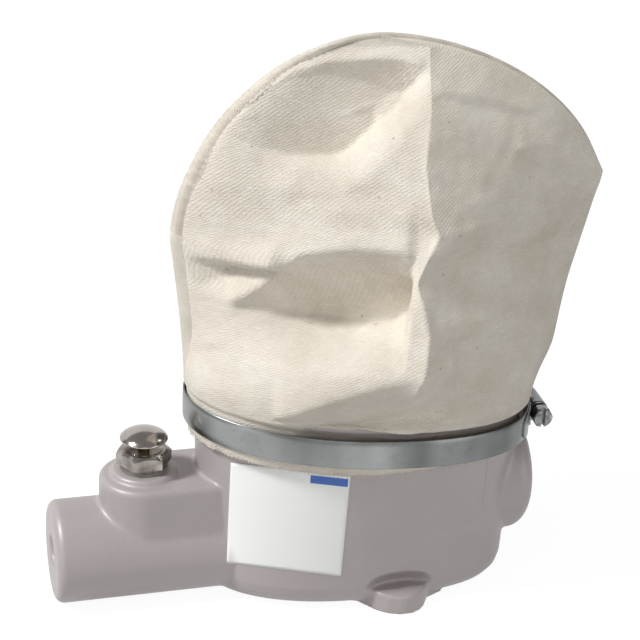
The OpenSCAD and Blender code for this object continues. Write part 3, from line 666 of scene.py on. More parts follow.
def loop_at(quarter, phi, out=0.0):
    """A point of the bowl's mouth, or of a loop that lies further out, in millimetres."""
    left, front = quarter in (0, 3), quarter in (0, 1)
    power = 2 / (LEFT_SQUARE if left else RIGHT_SQUARE)
    x, y = (LOOP_A + out) * math.sin(phi) ** power, (LOOP_B + out) * math.cos(phi) ** power
    return Vector((-x if left else x, -y if front else y, 0))


def panel_at(quarter, phi, z):
    """A point of the two panels' section at height z."""
    s, over_band = math.sin(phi), z - BAND_TOP
    left, front = quarter in (0, 3), quarter in (0, 1)
    edge = -reach_left(z, 1) if left else reach_right(z, 1)
    if not front:
        return edge * s, depth_at(z, 1) * max(0, 1 - s**2.1) ** 0.5
    sharp = 0.2 * smoothstep(3, 22, over_band) + 0.8 * smoothstep(20, 66, over_band)
    round_off, lift = (1.2, 0.26) if left else (0.97, 0.36)
    middle = min(crease_x(z), 0.8 * reach_right(z, 1)) * smoothstep(0, 20, over_band)
    flank = max(0, 1 - s ** (2 - round_off * sharp)) ** (0.5 + lift * sharp)
    return middle + (edge - middle) * s, -depth_at(z, 1) * flank


def section_point(quarter, phi, z):
    loop = loop_at(quarter, phi)
    x, y = panel_at(quarter, phi, z)
    share = smoothstep(1, 26, z - BAND_TOP)
    return loop.x + (x - loop.x) * share, loop.y + (y - loop.y) * share


print("160 mm up, the crease stands out to", [round(v, 1) for v in section_point(0, 0.0, 160)])

# %% [markdown]
# ### Columns and rows
# The shell's points stand in columns and rows. The front has twice as many columns as the back, and
# they crowd at the two edges. Rows crowd at the band, where the cloth is drawn in and bulges out again
# just over it, and at the top, where the outline turns over.

# %% Place the columns and rows
FRONT_HALF, BACK_HALF, ROWS = 96, 48, 168
COLUMNS = 2 * (FRONT_HALF + BACK_HALF)
CROWD = 0.09


def quarter_at(turn, crowd=0.0):
    """The quarter and the angle at a turn, from 0 to 4 round the bag. Points may crowd at the edges."""
    quarter, share = divmod(turn % 4, 1)
    phi = math.pi / 2 * (share - crowd * math.sin(2 * math.pi * share))
    return int(quarter), (math.pi / 2 - phi) if quarter in (0, 2) else phi


def column(i):
    """The quarter and angle of a column of points: the front has twice as many as the back."""
    i = i % COLUMNS
    turn = i / FRONT_HALF if i < 2 * FRONT_HALF else 2 + (i - 2 * FRONT_HALF) / BACK_HALF
    return quarter_at(turn, CROWD)


def bag_height(v):
    """The height of row share v: rows crowd at the band and where the outline turns over at the top."""
    low, knee = BAND_TOP - BAND_W, BAND_TOP + 8
    if v < 0.18:
        return low + (knee - low) * v / 0.18
    u = (v - 0.18) / 0.82
    return knee + (BAG_TOP - SEAM_TOP - knee) * (0.03 * u + 0.97 * math.sin(u * math.pi / 2))


def tuck(z, x):
    """How far the cloth is drawn in where the band holds it, and bulges out just over it."""
    over_band = z - BAND_TOP
    gap = smoothstep(-60, 10, x)
    held, bulge = 0.9 + 2.6 * gap, 0.5 + 2.0 * gap * (1 - 0.85 * smoothstep(40, 74, x))
    return -held + (held + bulge) * smoothstep(1.8, 4.6, over_band) - bulge * smoothstep(7, 38, over_band)


def bag_point(i, v):
    """The shell's point of column i and row share v, which sits level on the sloping band."""
    quarter, phi = column(i)
    z = bag_height(v)
    x, y = section_point(quarter, phi, z)
    flat = math.hypot(x, y) or 1.0
    push = tuck(z, x)
    x, y = x * (1 + push / flat), y * (1 + push / flat)
    drop = FALL * max(0, 1 - (z - BAND_TOP) / 40) if z > BAND_TOP else FALL
    return Vector((x, y, z - drop * x)) * MM


print(COLUMNS, "columns of", ROWS, "rows; the shell's first point:", bag_point(0, 0))

# %% [markdown]
# ### The folds
# A fold like a lip has a crest, a dark facet under it that faces down, and a way back out. Each is given
# by its crest line and its floor line in the picture, and the facet slopes in between the two: evenly
# where its sag is 1, and first steeply, then gently, where the sag is above 1. The folds are written
# from the top of the bag to its foot.

# %% Write the folds down
# Each row: crest line, floor line, rise of the crest in mm, slope of the facet in mm a pixel, pixels
# over which the crest rises, pixels over which the floor comes back, sag
FOLDS = [
    ([(229, 126), (262, 90), (290, 71), (330, 61), (380, 59), (405, 60), (421, 65)],
     [(229, 131), (262, 137), (300, 143), (330, 145), (350, 141), (375, 122), (395, 105), (421, 72)],
     0.8, 0.14, 16, 50, 1.3),
    ([(262, 92), (290, 72), (330, 62), (380, 60), (405, 61), (421, 66)],
     [(262, 104), (290, 90), (330, 84), (380, 86), (405, 86), (421, 78)],
     0.3, 0.17, 12, 44, 1.0),
    ([(229, 124), (262, 122), (300, 119), (340, 114), (375, 100)],
     [(229, 130), (262, 138), (300, 146), (340, 146), (375, 118)],
     0.5, 0.2, 26, 24, 1.0),
    ([(228, 119), (245, 115), (264, 120)], [(228, 129), (245, 134), (264, 130)], 0.9, 0.18, 10, 12, 1.1),
    ([(232, 303), (262, 286), (285, 266), (307, 253), (360, 249), (398, 253), (410, 256)],
     [(232, 306), (262, 309), (307, 314), (350, 319), (392, 318), (404, 313), (411, 268)],
     2.8, 0.34, 60, 60, 1.3),
    ([(176, 254), (205, 256), (235, 261), (274, 267)],
     [(176, 270), (205, 270), (235, 270), (274, 271)],
     4.0, 0.8, 30, 34, 0.8),
    ([(178, 341), (198, 342), (220, 344)], [(178, 348), (198, 350), (220, 349)], 0.9, 0.26, 22, 20, 1.0),
    ([(280, 416), (290, 415), (321, 404), (353, 394), (385, 384), (424, 377), (452, 382)],
     [(280, 422), (290, 424), (321, 430), (353, 431), (385, 429), (424, 424), (452, 416)],
     3.0, 0.14, 50, 8, 1.0),
    ([(437, 254), (500, 244), (596, 220)], [(437, 262), (500, 255), (596, 232)], 1.5, 0.2, 26, 34, 1.0),
    ([(520, 150), (560, 148), (600, 156)], [(520, 154), (560, 160), (600, 168)], 1.0, 0.14, 24, 26, 1.0),
    ([(440, 92), (480, 96), (530, 110)], [(440, 100), (480, 106), (530, 116)], 0.5, 0.06, 20, 26, 1.0),
    ([(440, 332), (490, 320), (545, 318)], [(440, 340), (490, 330), (545, 326)], 0.5, 0.06, 24, 26, 1.0),
]

# Round dents: middle, half width, half height, depth in mm (a bump's is negative), lean
DENTS = [(250, 205, 52, 20, 0.9, 0.3), (362, 205, 34, 34, 0.6, 0.0),
         (238, 98, 26, 12, -0.8, -0.6), (200, 172, 12, 26, 1.2, 0.0)]
print(len(FOLDS), "folds and", len(DENTS), "dents")

# %% [markdown]
# ### How the cloth is pushed
# Every point of the front is looked up in the picture, and the folds and dents there add up to a push
# along its normal. Noise adds soft wrinkles, and small gathers just over the band. The back isn't in
# the picture, so it has only wrinkles.

# %% Push the cloth in and out


def fold_between(px, py, crest, floor, rise, slope, above, below, sag):
    """How far a fold pushes the cloth at a pixel. It dies away past both ends of its crest."""
    first, last = crest[0][0], crest[-1][0]
    ends = smoothstep(first - 9, first + 3, px) * (1 - smoothstep(last - 3, last + 9, px))
    top, low = level_at(crest, px), level_at(floor, px)
    deep = slope * (low - top)
    if ends == 0 or py < top - above or py > low + below:
        return 0.0
    if py < top:
        return ends * rise * smoothstep(-above, 0, py - top)
    if py < low:
        return ends * (rise - (rise + deep) * (1 - (1 - (py - top) / (low - top)) ** sag))
    return -ends * deep * (1 - (py - low) / below) ** 1.5


def dent(px, py, cx, cy, wide, tall, deep, lean):
    """A soft round dent, leaning by an angle."""
    u, v = px - cx, py - cy
    u, v = u * math.cos(lean) + v * math.sin(lean), v * math.cos(lean) - u * math.sin(lean)
    r = (u / wide) ** 2 + (v / tall) ** 2
    return -deep * math.exp(-r * 1.6)


def wrinkle(point, size, stretch=(1, 1, 1)):
    """Noise whose waves are about size millimetres, shorter where it is stretched."""
    return noise.noise(Vector([c / (size * MM) * s for c, s in zip(point, stretch)]))


def fold_push(point, side):
    """How far, in millimetres, the cloth stands out or in at a point. `side` is -1 on the front."""
    z, over_band = point.z / MM, point.z / MM - BAND_TOP
    calm = smoothstep(2, 22, over_band) * (1 - smoothstep(BAG_TOP - 12, BAG_TOP - 3, z))
    soft = wrinkle(point, 34, (1, 1, 1.6)) + 0.45 * wrinkle(point, 15, (1, 1, 1.5))
    soft += 0.2 * wrinkle(point, 6)
    gather = 0.5 * wrinkle(point, 6, (1, 1, 0.22)) * (1 - smoothstep(2, 26, over_band))
    push = soft * calm + gather * (1 - smoothstep(-3, -1, -over_band))
    if side > 0:
        return push + 1.6 * wrinkle(point + Vector((0.3, 0, 0)), 40, (1, 1, 2.2)) * calm
    px, py = pixel(point)
    for fold in FOLDS:
        push += fold_between(px, py, *fold) * (1 - smoothstep(BAG_TOP - 8, BAG_TOP - 3, z))
    push += sum(dent(px, py, *row) for row in DENTS)
    low = smoothstep(16, 26, over_band) * (1 - smoothstep(40, 66, over_band))
    push += 2.6 * low * math.exp(-abs(px - level_at(CREASE, py)) / 9)
    deepest = 0.72 * point.y / MM
    return max(push, deepest)


sample = Vector((0, -BELLY_Y, 150)) * MM
print("A point on the front moves by", round(fold_push(sample, -1), 2), "mm")

# %% [markdown]
# ### Sewing the bag
# A flat grid is bent into the shell, pushed into its folds and joined where its ends meet. The twill's
# map must not stretch, so each point's place in it is its distance along the cloth from the middle of
# its panel and from the band. The widest runs of both panels and the height give the flat size of the
# cloth that the bag is cut from.

# %% Sew the bag


def run_from(spots, middle):
    """How far each spot of a row lies from the middle one, measured along the cloth."""
    run = [0.0]
    for a, b in zip(spots, spots[1:]):
        run.append(run[-1] + (b - a).length)
    return [r - run[middle] for r in run]


def sew_bag():
    bm = bmesh.new()
    cloth = bm.loops.layers.uv.new("cloth")
    bmesh.ops.create_grid(bm, x_segments=COLUMNS, y_segments=ROWS, size=0.5, calc_uvs=False)
    place = {v: (round((v.co.x + 0.5) * COLUMNS), round((v.co.y + 0.5) * ROWS)) for v in bm.verts}
    for v, (i, j) in place.items():
        v.co = bag_point(i, j / ROWS)
    front = {v: i % COLUMNS < 2 * FRONT_HALF for v, (i, j) in place.items()}
    bmesh.ops.recalc_face_normals(bm, faces=bm.faces)
    if sum(f.normal.y for f in bm.faces if front[f.verts[0]]) > 0:
        bmesh.ops.reverse_faces(bm, faces=bm.faces)
    bm.normal_update()
    pushes = {v: fold_push(v.co, -1 if front[v] else 1) * (1 - math.sin(column(i)[1]) ** 5)
              for v, (i, j) in place.items()}
    for v, push in pushes.items():
        v.co += v.normal * push * MM
    grid = {spot: v.co.copy() for v, spot in place.items()}
    up = run_from([grid[FRONT_HALF, j] for j in range(ROWS + 1)], 0)
    across, widest = {}, [0, 0]
    for j in range(ROWS + 1):
        for panel, (first, half) in enumerate([(0, FRONT_HALF), (2 * FRONT_HALF, BACK_HALF)]):
            run = run_from([grid[i, j] for i in range(first, first + 2 * half + 1)], half)
            across.update({(panel, first + k, j): r for k, r in enumerate(run)})
            widest[panel] = max(widest[panel], run[-1] - run[0])
    for face in bm.faces:
        panel = int(min(place[v][0] for v in face.verts) >= 2 * FRONT_HALF)
        for loop in face.loops:
            i, j = place[loop.vert]
            loop[cloth].uv = (across[panel, i, j] + 0.3 * panel, up[j])
    bmesh.ops.remove_doubles(bm, verts=bm.verts, dist=0.02 * MM)
    return bm, (sum(widest), up[-1])


bag_mesh, flat_size = sew_bag()
bag = piece("bag_shell", bag_mesh, "bag_cloth", stands_for=["filter_bag"], smooth=None)
wall = bag.modifiers.new("cloth thickness", "SOLIDIFY")
wall.thickness, wall.offset = 1.1 * MM, -1

# %% [markdown]
# ### The seam
# The two panels meet in a flat seam that stands outside the bag along its left side and its top. Its
# edge is overlocked: a thread winds round the raw edge in close oblique turns. The seam is a thin
# strip that fills the room between the shell's outline and the bag's outline, a little wavy because
# the thread draws it up.

# %% Run the seam round the edge
SEAM_LOW, SEAM_RIGHT, SEAM_STEPS = 97.0, 196, 260


def outline_point(t, sewn):
    """The bag's outline: t is -1 at the foot of the left side, 0 at the top and 1 on the right side."""
    top = BAG_TOP - SEAM_TOP * sewn
    if t < 0:
        z = SEAM_LOW + (top - SEAM_LOW) * (0.3 * (1 + t) + 0.7 * math.sin((1 + t) * math.pi / 2))
        return Vector((-reach_left(z, sewn), 0, z))
    z = top - (top - SEAM_RIGHT) * (1 - math.cos(t * math.pi / 2)) ** 0.9
    return Vector((reach_right(z, sewn), 0, z))


def seam_point(t, share, side):
    """A point of the seam strip: share runs from the shell's edge to the raw edge, side is its face."""
    inner, outer = outline_point(t, 1.3), outline_point(t, 0)
    along = inner.lerp(outer, share)
    drawn = smoothstep(-0.7, -0.5, t) * (1 - smoothstep(-0.12, 0.0, t))
    wave = 0.8 * noise.noise(Vector((t * 9, 3, 0))) + 0.3 * math.sin(t * 210) * share * drawn
    on_the_right = smoothstep(-0.1, 0.15, t)
    back = on_the_right + 3.0 * share * (1 - smoothstep(-0.3, 0.0, t))
    thick = 0.8 + 0.35 * math.sin(share * math.pi) + 0.2 * math.sin(t * 390) * drawn
    thick *= 1 - 0.4 * on_the_right
    return (along + Vector((0, wave + back + side * thick, 0))) * MM


def sew_seam():
    bm = bmesh.new()
    cloth = bm.loops.layers.uv.new("cloth")
    profile = [(0.0, -1), (0.35, -1), (0.7, -1), (0.96, -0.7), (1.0, 0),
               (0.96, 0.7), (0.7, 1), (0.35, 1), (0.0, 1)]
    bmesh.ops.create_grid(bm, x_segments=SEAM_STEPS, y_segments=len(profile) - 1, size=0.5, calc_uvs=False)
    place = {v: (v.co.x + 0.5, v.co.y + 0.5) for v in bm.verts}
    for v, (s, t) in place.items():
        share, side = profile[round(t * (len(profile) - 1))]
        v.co = seam_point(2 * s - 1, share, side)
    for face in bm.faces:
        for loop in face.loops:
            s, t = place[loop.vert]
            loop[cloth].uv = (t * 0.02, s * 0.5)
    back = [e for e in bm.edges if e.is_boundary]
    bmesh.ops.holes_fill(bm, edges=back, sides=0)
    bmesh.ops.recalc_face_normals(bm, faces=bm.faces)
    return bm


seam = piece("bag_seam", sew_seam(), "bag_cloth", smooth=math.radians(50))
print("seam faces:", len(seam.data.polygons))

# %% [markdown]
# ### The overlock thread
# The thread is wound round the raw edge. Each turn is a strand through five points of the seam's own
# surface, so that it lies on the cloth: a small ring at each point, and the rings bridged.

# %% Wind the thread round the edge
THREAD_TURNS, THREAD_R = 130, 0.14 * MM


def aimed(place, a, b):
    """A matrix that sets a shape at a place with its height turned from a to b."""
    return Matrix.Translation(place) @ (b - a).to_track_quat("Z", "Y").to_matrix().to_4x4()


def overlock():
    bm = bmesh.new()
    strand = [(0.35, -1), (0.8, -1), (1.03, 0), (0.8, 1), (0.35, 1)]
    for k in range(THREAD_TURNS):
        t = -0.66 + 0.6 * k / THREAD_TURNS
        spots = [seam_point(t + 0.0016 * n, share, side * 1.25) for n, (share, side) in enumerate(strand)]
        ring = None
        for a, b in zip(spots, spots[1:] + [spots[-1] * 2 - spots[-2]]):
            made = bmesh.ops.create_circle(bm, segments=4, radius=THREAD_R, matrix=aimed(a, a, b))
            edges = list({e for v in made["verts"] for e in v.link_edges})
            if ring:
                bmesh.ops.bridge_loops(bm, edges=ring + edges)
            ring = edges
    bmesh.ops.holes_fill(bm, edges=[e for e in bm.edges if e.is_boundary], sides=0)
    bmesh.ops.recalc_face_normals(bm, faces=bm.faces)
    return bm


thread = piece("seam_thread", overlock(), "bag_cloth", smooth=None)
print("thread faces:", len(thread.data.polygons))

# %% [markdown]
# ### The hem
# The bag's cut edge hangs out below the band, more on the left than on the right, and it frays: loose
# yarns stick out of it. A closed strip lies on the bowl's wall, its lower edge wanders, and short
# pointed yarns are set along it, each a little cone that leans its own way.

# %% Trim the hem


def loop_spot(turn, out=0.0):
    """A point on the band's loop. turn counts from 0 to 1, from the left end round the front."""
    return loop_at(*quarter_at(4 * turn), out)


def hem_drop(turn):
    """How far the cut edge hangs below the band."""
    x = loop_spot(turn).x
    front = turn % 1 < 0.5
    drop = 1.0 + (3.4 if front else 1.6) * (1 - smoothstep(-20, 40, x))
    spot = Vector((turn * 60, 0, 0))
    return drop + 0.8 * noise.noise(spot) + 0.35 * noise.noise(spot * 5)


def hem_point(turn, level, out):
    """level runs from 0 at the cut edge to 1 under the band."""
    spot = loop_spot(turn, out)
    low = BAND_Z - BAND_W / 2 - hem_drop(turn)
    z = low + (BAND_Z - low) * level
    return Vector((spot.x, spot.y, z - FALL * spot.x)) * MM


def trim_hem():
    bm = bmesh.new()
    cloth = bm.loops.layers.uv.new("cloth")
    profile = [(0.0, -2.6), (0.0, -1.5), (0.12, -0.95), (0.5, -0.6),
               (1.0, -0.6), (1.0, -2.9), (0.5, -3.0), (0.12, -3.2)]
    around, deep = 420, len(profile)
    bmesh.ops.create_grid(bm, x_segments=around, y_segments=deep, size=0.5, calc_uvs=False)
    place = {v: (v.co.x + 0.5, v.co.y + 0.5) for v in bm.verts}
    for v, (s, t) in place.items():
        level, out = profile[round(t * deep) % deep]
        ruffle = 0.4 * noise.noise(Vector((s * 110, t * 2, 5))) * (1 - level)
        v.co = hem_point(s, level, out + ruffle)
    for face in bm.faces:
        for loop in face.loops:
            s, t = place[loop.vert]
            loop[cloth].uv = (s * 0.42, t * 0.03)
    bmesh.ops.remove_doubles(bm, verts=bm.verts, dist=0.002 * MM)
    bmesh.ops.recalc_face_normals(bm, faces=bm.faces)
    return bm


hem = piece("bag_hem", trim_hem(), "bag_cloth", smooth=math.radians(60))
print("hem faces:", len(hem.data.polygons))

# %% Fray its edge
YARNS = 260


def fray():
    """Loose yarns along the cut edge: thin pointed tubes, longer on the front."""
    bm = bmesh.new()
    for k in range(YARNS):
        turn = (k + 0.4 * noise.noise(Vector((k * 1.7, 0, 0)))) / YARNS
        length = 0.5 + 1.6 * abs(noise.noise(Vector((k * 3.1, 1, 0)))) * (1 if turn < 0.5 else 0.5)
        lean = 1.6 * noise.noise(Vector((k * 2.3, 2, 0)))
        top = hem_point(turn, 0.04, -1.2)
        low = hem_point(turn + lean * 0.002, 0, -1.3) - Vector((0, 0, length * MM))
        bmesh.ops.create_cone(bm, cap_ends=True, segments=5, radius1=0.2 * MM, radius2=0.1 * MM,
                              depth=(low - top).length, matrix=aimed((top + low) / 2, top, low))
    return bm


yarns = piece("hem_yarns", fray(), "bag_cloth", smooth=None)
print("yarn faces:", len(yarns.data.polygons))

# %% [markdown]
# ## The hose clamp
# A worm-drive clamp holds the hem: a thin plated strip round the bowl, whose free end laps over and
# runs under a housing with a screw. The strip is a closed section carried round the loop, rounded at
# its edges as rolled strip is.

# %% Roll the band
BAND_T = 0.7


def strip_point(turn, out, w):
    spot = loop_spot(turn, out)
    return Vector((spot.x, spot.y, BAND_Z - FALL * spot.x + w)) * MM


def rolled_section(low, high, half):
    """The strip's section: out and w, with rounded edges and a face that is very slightly crowned."""
    r = (high - low) * 0.45
    face = [(high, r - half), (high + 0.05, -half * 0.5), (high + 0.08, 0), (high + 0.05, half * 0.5)]
    edge = [(high, half - r), (high - r, half), (low + r, half), (low, half - r)]
    return [(low, r - half), (low + r, -half), (high - r, -half)] + face + edge + [(low, 0)]


def carry_round(section, turns, steps, closed, squeeze=None):
    """Carries a section along the loop between two turns. squeeze narrows it at a turn."""
    bm = bmesh.new()
    deep = len(section)
    bmesh.ops.create_grid(bm, x_segments=steps, y_segments=deep, size=0.5, calc_uvs=False)
    for v in bm.verts:
        s, t = v.co.x + 0.5, v.co.y + 0.5
        out, w = section[round(t * deep) % deep]
        turn = turns[0] + (turns[1] - turns[0]) * s
        w = w * (squeeze(turn) if squeeze else 1)
        v.co = strip_point(turn, out, w)
    bmesh.ops.remove_doubles(bm, verts=bm.verts, dist=0.002 * MM)
    if not closed:
        bmesh.ops.holes_fill(bm, edges=[e for e in bm.edges if e.is_boundary], sides=0)
    bmesh.ops.recalc_face_normals(bm, faces=bm.faces)
    return bm


strip = carry_round(rolled_section(0, BAND_T, BAND_W / 2), (0, 1), 360, True)
band = piece("clamp_strip", strip, "clamp_steel", stands_for=["clamp_band"], smooth=math.radians(50))
print("band faces:", len(band.data.polygons))

# %% [markdown]
# ### The free end
# The strip's free end laps over it at the right and goes under the housing. It is a second, shorter
# strip that lies on the first, and narrowing its section at the tip rounds the corners off there.

# %% Lap the free end over the band
TIP_Y, TAIL_Y = -29.0, 14.0


def turn_at(y):
    """The turn at which the loop's right end lies at y."""
    c = (abs(y) / LOOP_B) ** (RIGHT_SQUARE / 2)
    phi = math.acos(min(1, c))
    quarter = 1 if y < 0 else 2
    return (quarter + (phi if quarter == 1 else math.pi / 2 - phi) / (math.pi / 2)) / 4


def tip_width(turn):
    """The free end's corners are rounded off."""
    gap, r, half = loop_spot(turn).y - TIP_Y, BAND_W / 3, BAND_W / 2
    return 1 if gap > r else (half - r + math.sqrt(max(0, r * r - (r - gap) ** 2))) / half


lapped = rolled_section(BAND_T + 0.04, 2 * BAND_T, BAND_W / 2 - 0.05)
ends = turn_at(TIP_Y), turn_at(TAIL_Y)
piece("clamp_free_end", carry_round(lapped, ends, 120, False, tip_width), "clamp_steel",
      smooth=math.radians(50))
print("free end between turns", [round(v, 3) for v in ends])

# %% [markdown]
# ### What holds the bag
# The cloth's flat size, in metres, is printed here. The band gathers the bag on the bowl, and the seam,
# thread, hem and yarns belong to the bag.

print("flat size in metres:", [round(v, 4) for v in flat_size])

# %% [markdown]
# ## Edges on the small metal parts
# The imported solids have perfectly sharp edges, which never catch the light. A merged copy gets its
# flat faces joined again and its sharp edges bevelled, so each edge shows a thin bright line.

# %% Break the sharp edges
EDGE_ANGLE = math.radians(30)


def edged(node, slot, width, body="cleaner"):
    """A copy of a CAD node with its sharp edges bevelled, width millimetres wide."""
    bm = merged_copy(node)
    bmesh.ops.dissolve_limit(bm, angle_limit=math.radians(1.5), verts=bm.verts, edges=bm.edges)
    made = piece(node + "_edged", bm, slot, body=body, stands_for=[node], smooth=EDGE_ANGLE)
    cut = made.modifiers.new("broken edges", "BEVEL")
    cut.width, cut.segments = width * MM, 2
    cut.limit_method, cut.angle_limit = "ANGLE", EDGE_ANGLE
    cut.use_clamp_overlap = True
    print(made.name, "faces before the bevel:", len(made.data.polygons))


edged("clamp_housing", "clamp_steel", 0.25)
edged("clamp_screw", "clamp_screw_steel", 0.2, body="clamp_worm")
edged("valve_bushing", "gland_steel", 0.25)
edged("port_ring", "gland_steel", 0.3)

# %% [markdown]
# ## The valve's spring
# When the button is pressed the disc under it pushes the spring together. The spring is a CAD solid
# that stands on the floor of its bore; here it is only given a mesh of its own.

# %% Give the spring its own mesh
spring = frame["nodes"]["valve_spring"]
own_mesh(spring)

# %% [markdown]
# ## The push button
# The button is a turned and chromed cap. A turned part is a profile spun round its axis: points from
# the middle of the top, over the dome and the rim, to the hole that takes the stem.

# %% Turn the button
BUTTON_Z, BUTTON_R, DOME_H, RIM_R = 73.0, 10.25, 3.8, 0.6
SPIN_STEPS = 96


def turned(profile):
    """Spins a profile of radius and height, in millimetres, round the valve's axis."""
    bm = bmesh.new()
    spots = [bm.verts.new((VALVE_X + r * MM, 0, z * MM)) for r, z in profile]
    edges = [bm.edges.new(pair) for pair in zip(spots, spots[1:])]
    bmesh.ops.spin(bm, geom=spots + edges, cent=(VALVE_X, 0, 0), axis=(0, 0, 1), angle=2 * math.pi,
                   steps=SPIN_STEPS, use_merge=True)
    bmesh.ops.remove_doubles(bm, verts=bm.verts, dist=0.001 * MM)
    bmesh.ops.recalc_face_normals(bm, faces=bm.faces)
    return bm


ball = (BUTTON_R**2 + DOME_H**2) / (2 * DOME_H)
ball_z = BUTTON_Z + 2 * RIM_R + DOME_H - ball
dome = [(r, ball_z + math.sqrt(ball**2 - r * r)) for r in (0, 1, 2, 3, 4, 5, 6, 7, 8, 8.8, 9.4)]
rim = [(BUTTON_R - RIM_R + RIM_R * math.sin(a), BUTTON_Z + RIM_R + RIM_R * math.cos(a))
       for a in (0.5, 1.0, 1.5, 2.0, 2.5, 3.0)]
underside = [(8.6, 0.05), (5.5, 0.3), (4.2, 0.1), (3.9, 0), (2.6, 0), (2.56, 0.2), (2.56, 3.0), (0, 3.05)]
neck = [(r, BUTTON_Z + up) for r, up in underside]
cap = piece("button_cap", turned(dome + rim + neck), "button_chrome", body="button",
            stands_for=["push_button"], smooth=math.radians(40))
print("button faces:", len(cap.data.polygons))

# %% [markdown]
# ## The label
# A paper label is stuck on the curved wall. A flat grid is laid over the place it has in the picture,
# each of its points is sent along its line of sight to the casting, and it is set a little proud.
# It stays blank: white paper with one blue block in its corner.

# %% Stick the label on
LABEL_PX = [(231, 462.5), (350.5, 475.5), (341, 576), (226.5, 562.5)]
PROUD = 0.12 * MM


def label_spot(s, t):
    """s runs to the right and t down, over the label's corners in the picture."""
    a, b, c, d = LABEL_PX
    px = [(1 - t) * ((1 - s) * a[k] + s * b[k]) + t * ((1 - s) * d[k] + s * c[k]) for k in (0, 1)]
    hit, normal, _, _ = body_tree.ray_cast(EYE, sight_line(*px))
    return hit + normal * PROUD


def label_paint():
    paint = Paint("label_paper", IOR=1.45)
    place = paint.add("ShaderNodeUVMap", {"uv_map": "label"}, {})
    s, t, _ = paint.axes(place)
    block = (s > 0.67) * (s < 0.985) * (t > 0.035) * (t < 0.115)
    fibres = paint.cloud(place, 60, 4)
    paper = paint.blend(fibres, tint(247, 247, 246), tint(254, 254, 253))
    shown = paint.blend(block, paper, tint(74, 112, 190))
    return paint.finish(Base_Color=shown, Roughness=fibres * 0.15 + 0.3,
                        Normal=paint.relief(fibres, 0.02 * MM))


def stick_label():
    bm = bmesh.new()
    label_map = bm.loops.layers.uv.new("label")
    bmesh.ops.create_grid(bm, x_segments=40, y_segments=34, size=0.5, calc_uvs=False)
    place = {v: (v.co.x + 0.5, 0.5 - v.co.y) for v in bm.verts}
    for v, (s, t) in place.items():
        v.co = label_spot(s, t)
    for face in bm.faces:
        for loop in face.loops:
            loop[label_map].uv = place[loop.vert]
    bmesh.ops.recalc_face_normals(bm, faces=bm.faces)
    if sum(f.normal.y for f in bm.faces) > 0:
        bmesh.ops.reverse_faces(bm, faces=bm.faces)
    return bm


label = piece("label", stick_label(), None, smooth=None)
label.data.materials.append(label_paint())
paper = label.modifiers.new("paper thickness", "SOLIDIFY")
paper.thickness, paper.offset = 0.1 * MM, 1
print("label faces:", len(label.data.polygons))

# %% [markdown]
# ## The inlet's thread
# The hole in the barrel's end takes a pipe fitting, so it has a thread. A small triangle is carried
# round the hole while it moves along: a spin with a step forward.

# %% Cut the inlet's thread
PITCH, TURNS, STEPS_A_TURN = 1.41, 9, 40
THREAD_X, ROOT_R, CREST_R = -132.0, 6.35, 5.65


def inlet_thread():
    bm = bmesh.new()
    corners = ((0, ROOT_R), (PITCH * 0.5, CREST_R), (PITCH, ROOT_R))
    spots = [bm.verts.new(Vector((THREAD_X + dx, 0, BARREL_Z / MM + r)) * MM) for dx, r in corners]
    outline = [bm.edges.new((spots[k], spots[(k + 1) % 3])) for k in range(3)]
    bmesh.ops.spin(bm, geom=spots + outline, cent=(0, 0, BARREL_Z), axis=(1, 0, 0),
                   angle=2 * math.pi * TURNS, steps=STEPS_A_TURN * TURNS,
                   dvec=(PITCH * MM / STEPS_A_TURN, 0, 0))
    bmesh.ops.holes_fill(bm, edges=[e for e in bm.edges if e.is_boundary], sides=0)
    bmesh.ops.recalc_face_normals(bm, faces=bm.faces)
    return bm


thread_ridge = piece("inlet_thread", inlet_thread(), "casting", smooth=math.radians(40))
print("thread faces:", len(thread_ridge.data.polygons))

# %% [markdown]
# ## The floor and the backdrop
# The picture has a plain white ground. One sheet makes it: a floor that rises behind in a quarter turn
# to a wall, so that no edge shows. Its own colour makes it white: what the camera sees is mostly a
# steady white with some plain diffuse in it, so that the object's shadow stays, while its light on the
# object is that of a plain pale sheet.

# %% Lay the floor and the backdrop
FLOOR_HALF, FLOOR_NEAR, FLOOR_FAR, CURVE_R, WALL_H = 2.2, -1.6, 1.2, 0.5, 1.5


def points_of(geom):
    return [g for g in geom if isinstance(g, bmesh.types.BMVert)]


ground = bmesh.new()
near_edge = [ground.verts.new((x, FLOOR_NEAR, 0)) for x in (-FLOOR_HALF, FLOOR_HALF)]
grown = bmesh.ops.extrude_edge_only(ground, edges=[ground.edges.new(near_edge)])["geom"]
bmesh.ops.translate(ground, verts=points_of(grown), vec=(0, FLOOR_FAR - FLOOR_NEAR, 0))
far = [g for g in grown if isinstance(g, bmesh.types.BMEdge) and all(v.co.y > 1 for v in g.verts)]
bmesh.ops.spin(ground, geom=far, cent=(0, FLOOR_FAR, CURVE_R), axis=(1, 0, 0), angle=math.pi / 2, steps=16)
top = [e for e in ground.edges if e.is_boundary and all(v.co.z > CURVE_R - 0.01 for v in e.verts)]
lifted = bmesh.ops.extrude_edge_only(ground, edges=top)["geom"]
bmesh.ops.translate(ground, verts=points_of(lifted), vec=(0, 0, WALL_H))
mesh = bpy.data.meshes.new("floor")
ground.to_mesh(mesh)
ground.free()
mesh.shade_smooth()
floor = bpy.data.objects.new("floor", mesh)
bpy.context.scene.collection.objects.link(floor)

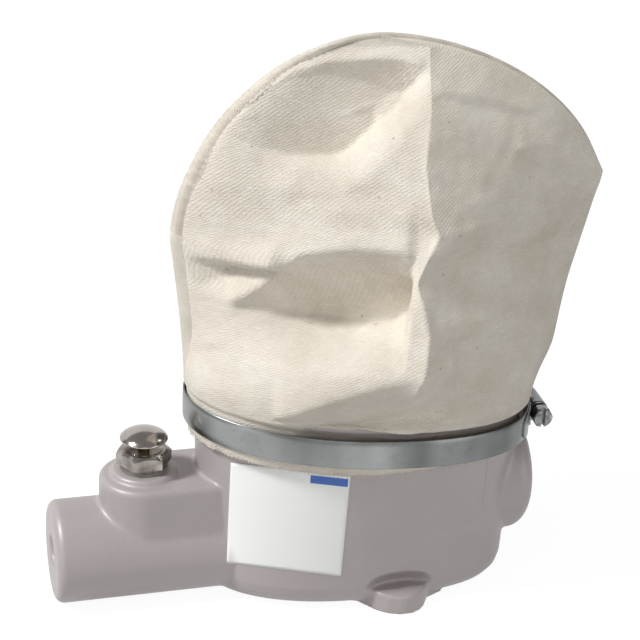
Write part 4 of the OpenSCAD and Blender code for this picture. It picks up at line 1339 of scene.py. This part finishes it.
white = Paint("white_ground")
sight = white.add("ShaderNodeLightPath", {}, {}, "Is Camera Ray")
seen = (sight + Shade(white, sight.socket.node.outputs["Is Glossy Ray"])
        + Shade(white, sight.socket.node.outputs["Is Transmission Ray"])).bounded()
glow = white.add("ShaderNodeEmission", {}, {"Color": (1, 1, 1, 1), "Strength": 0.9})
faint = white.add("ShaderNodeBsdfDiffuse", {}, {"Color": (0.26, 0.26, 0.26, 1)})
plain = white.add("ShaderNodeBsdfDiffuse", {}, {"Color": (0.42, 0.42, 0.42, 1)})
shown = white.add("ShaderNodeAddShader", {}, {0: glow, 1: faint})
mixed = white.add("ShaderNodeMixShader", {}, {0: seen, 1: plain, 2: shown})
white.tree.links.new(mixed.socket, white.tree.nodes["Material Output"].inputs["Surface"])
floor.data.materials.append(white.material)
print("floor faces:", len(mesh.polygons))

# %% [markdown]
# ## The lamps
# In the picture the light comes from the upper left, from a lamp small enough to draw the bag's crease
# sharply. It is the key. Weak, large lamps fill the front, the right and the low left, and an even
# white sky lifts the rest.

# %% Hang the lamps
scene = bpy.context.scene
scene.view_settings.view_transform = "Standard"
world = bpy.data.worlds.new("studio")
scene.world = world
world.use_nodes = True
sky = world.node_tree.nodes["Background"]
sky.inputs["Color"].default_value = (1, 1, 1, 1)
sky.inputs["Strength"].default_value = 0.32
MIDDLE = Vector((0, 0, 0.11))


def lamp(name, place, size, watts):
    """A round soft lamp that looks at the object's middle."""
    data = bpy.data.lights.new(name, "AREA")
    data.shape, data.size, data.energy = "DISK", size, watts
    made = bpy.data.objects.new(name, data)
    made.location = place
    made.rotation_mode = "QUATERNION"
    made.rotation_quaternion = (MIDDLE - Vector(place)).to_track_quat("-Z", "Y")
    scene.collection.objects.link(made)
    print(name, "lamp of", watts, "W")


lamp("key", (-1.26, -0.13, 1.39), 0.36, 29)
lamp("front_fill", (-0.3, -1.7, 0.7), 1.0, 2.4)
lamp("low_left", (-1.3, -0.95, 0.22), 0.7, 2)
lamp("right_fill", (1.1, -1.2, 0.35), 1.0, 4.6)
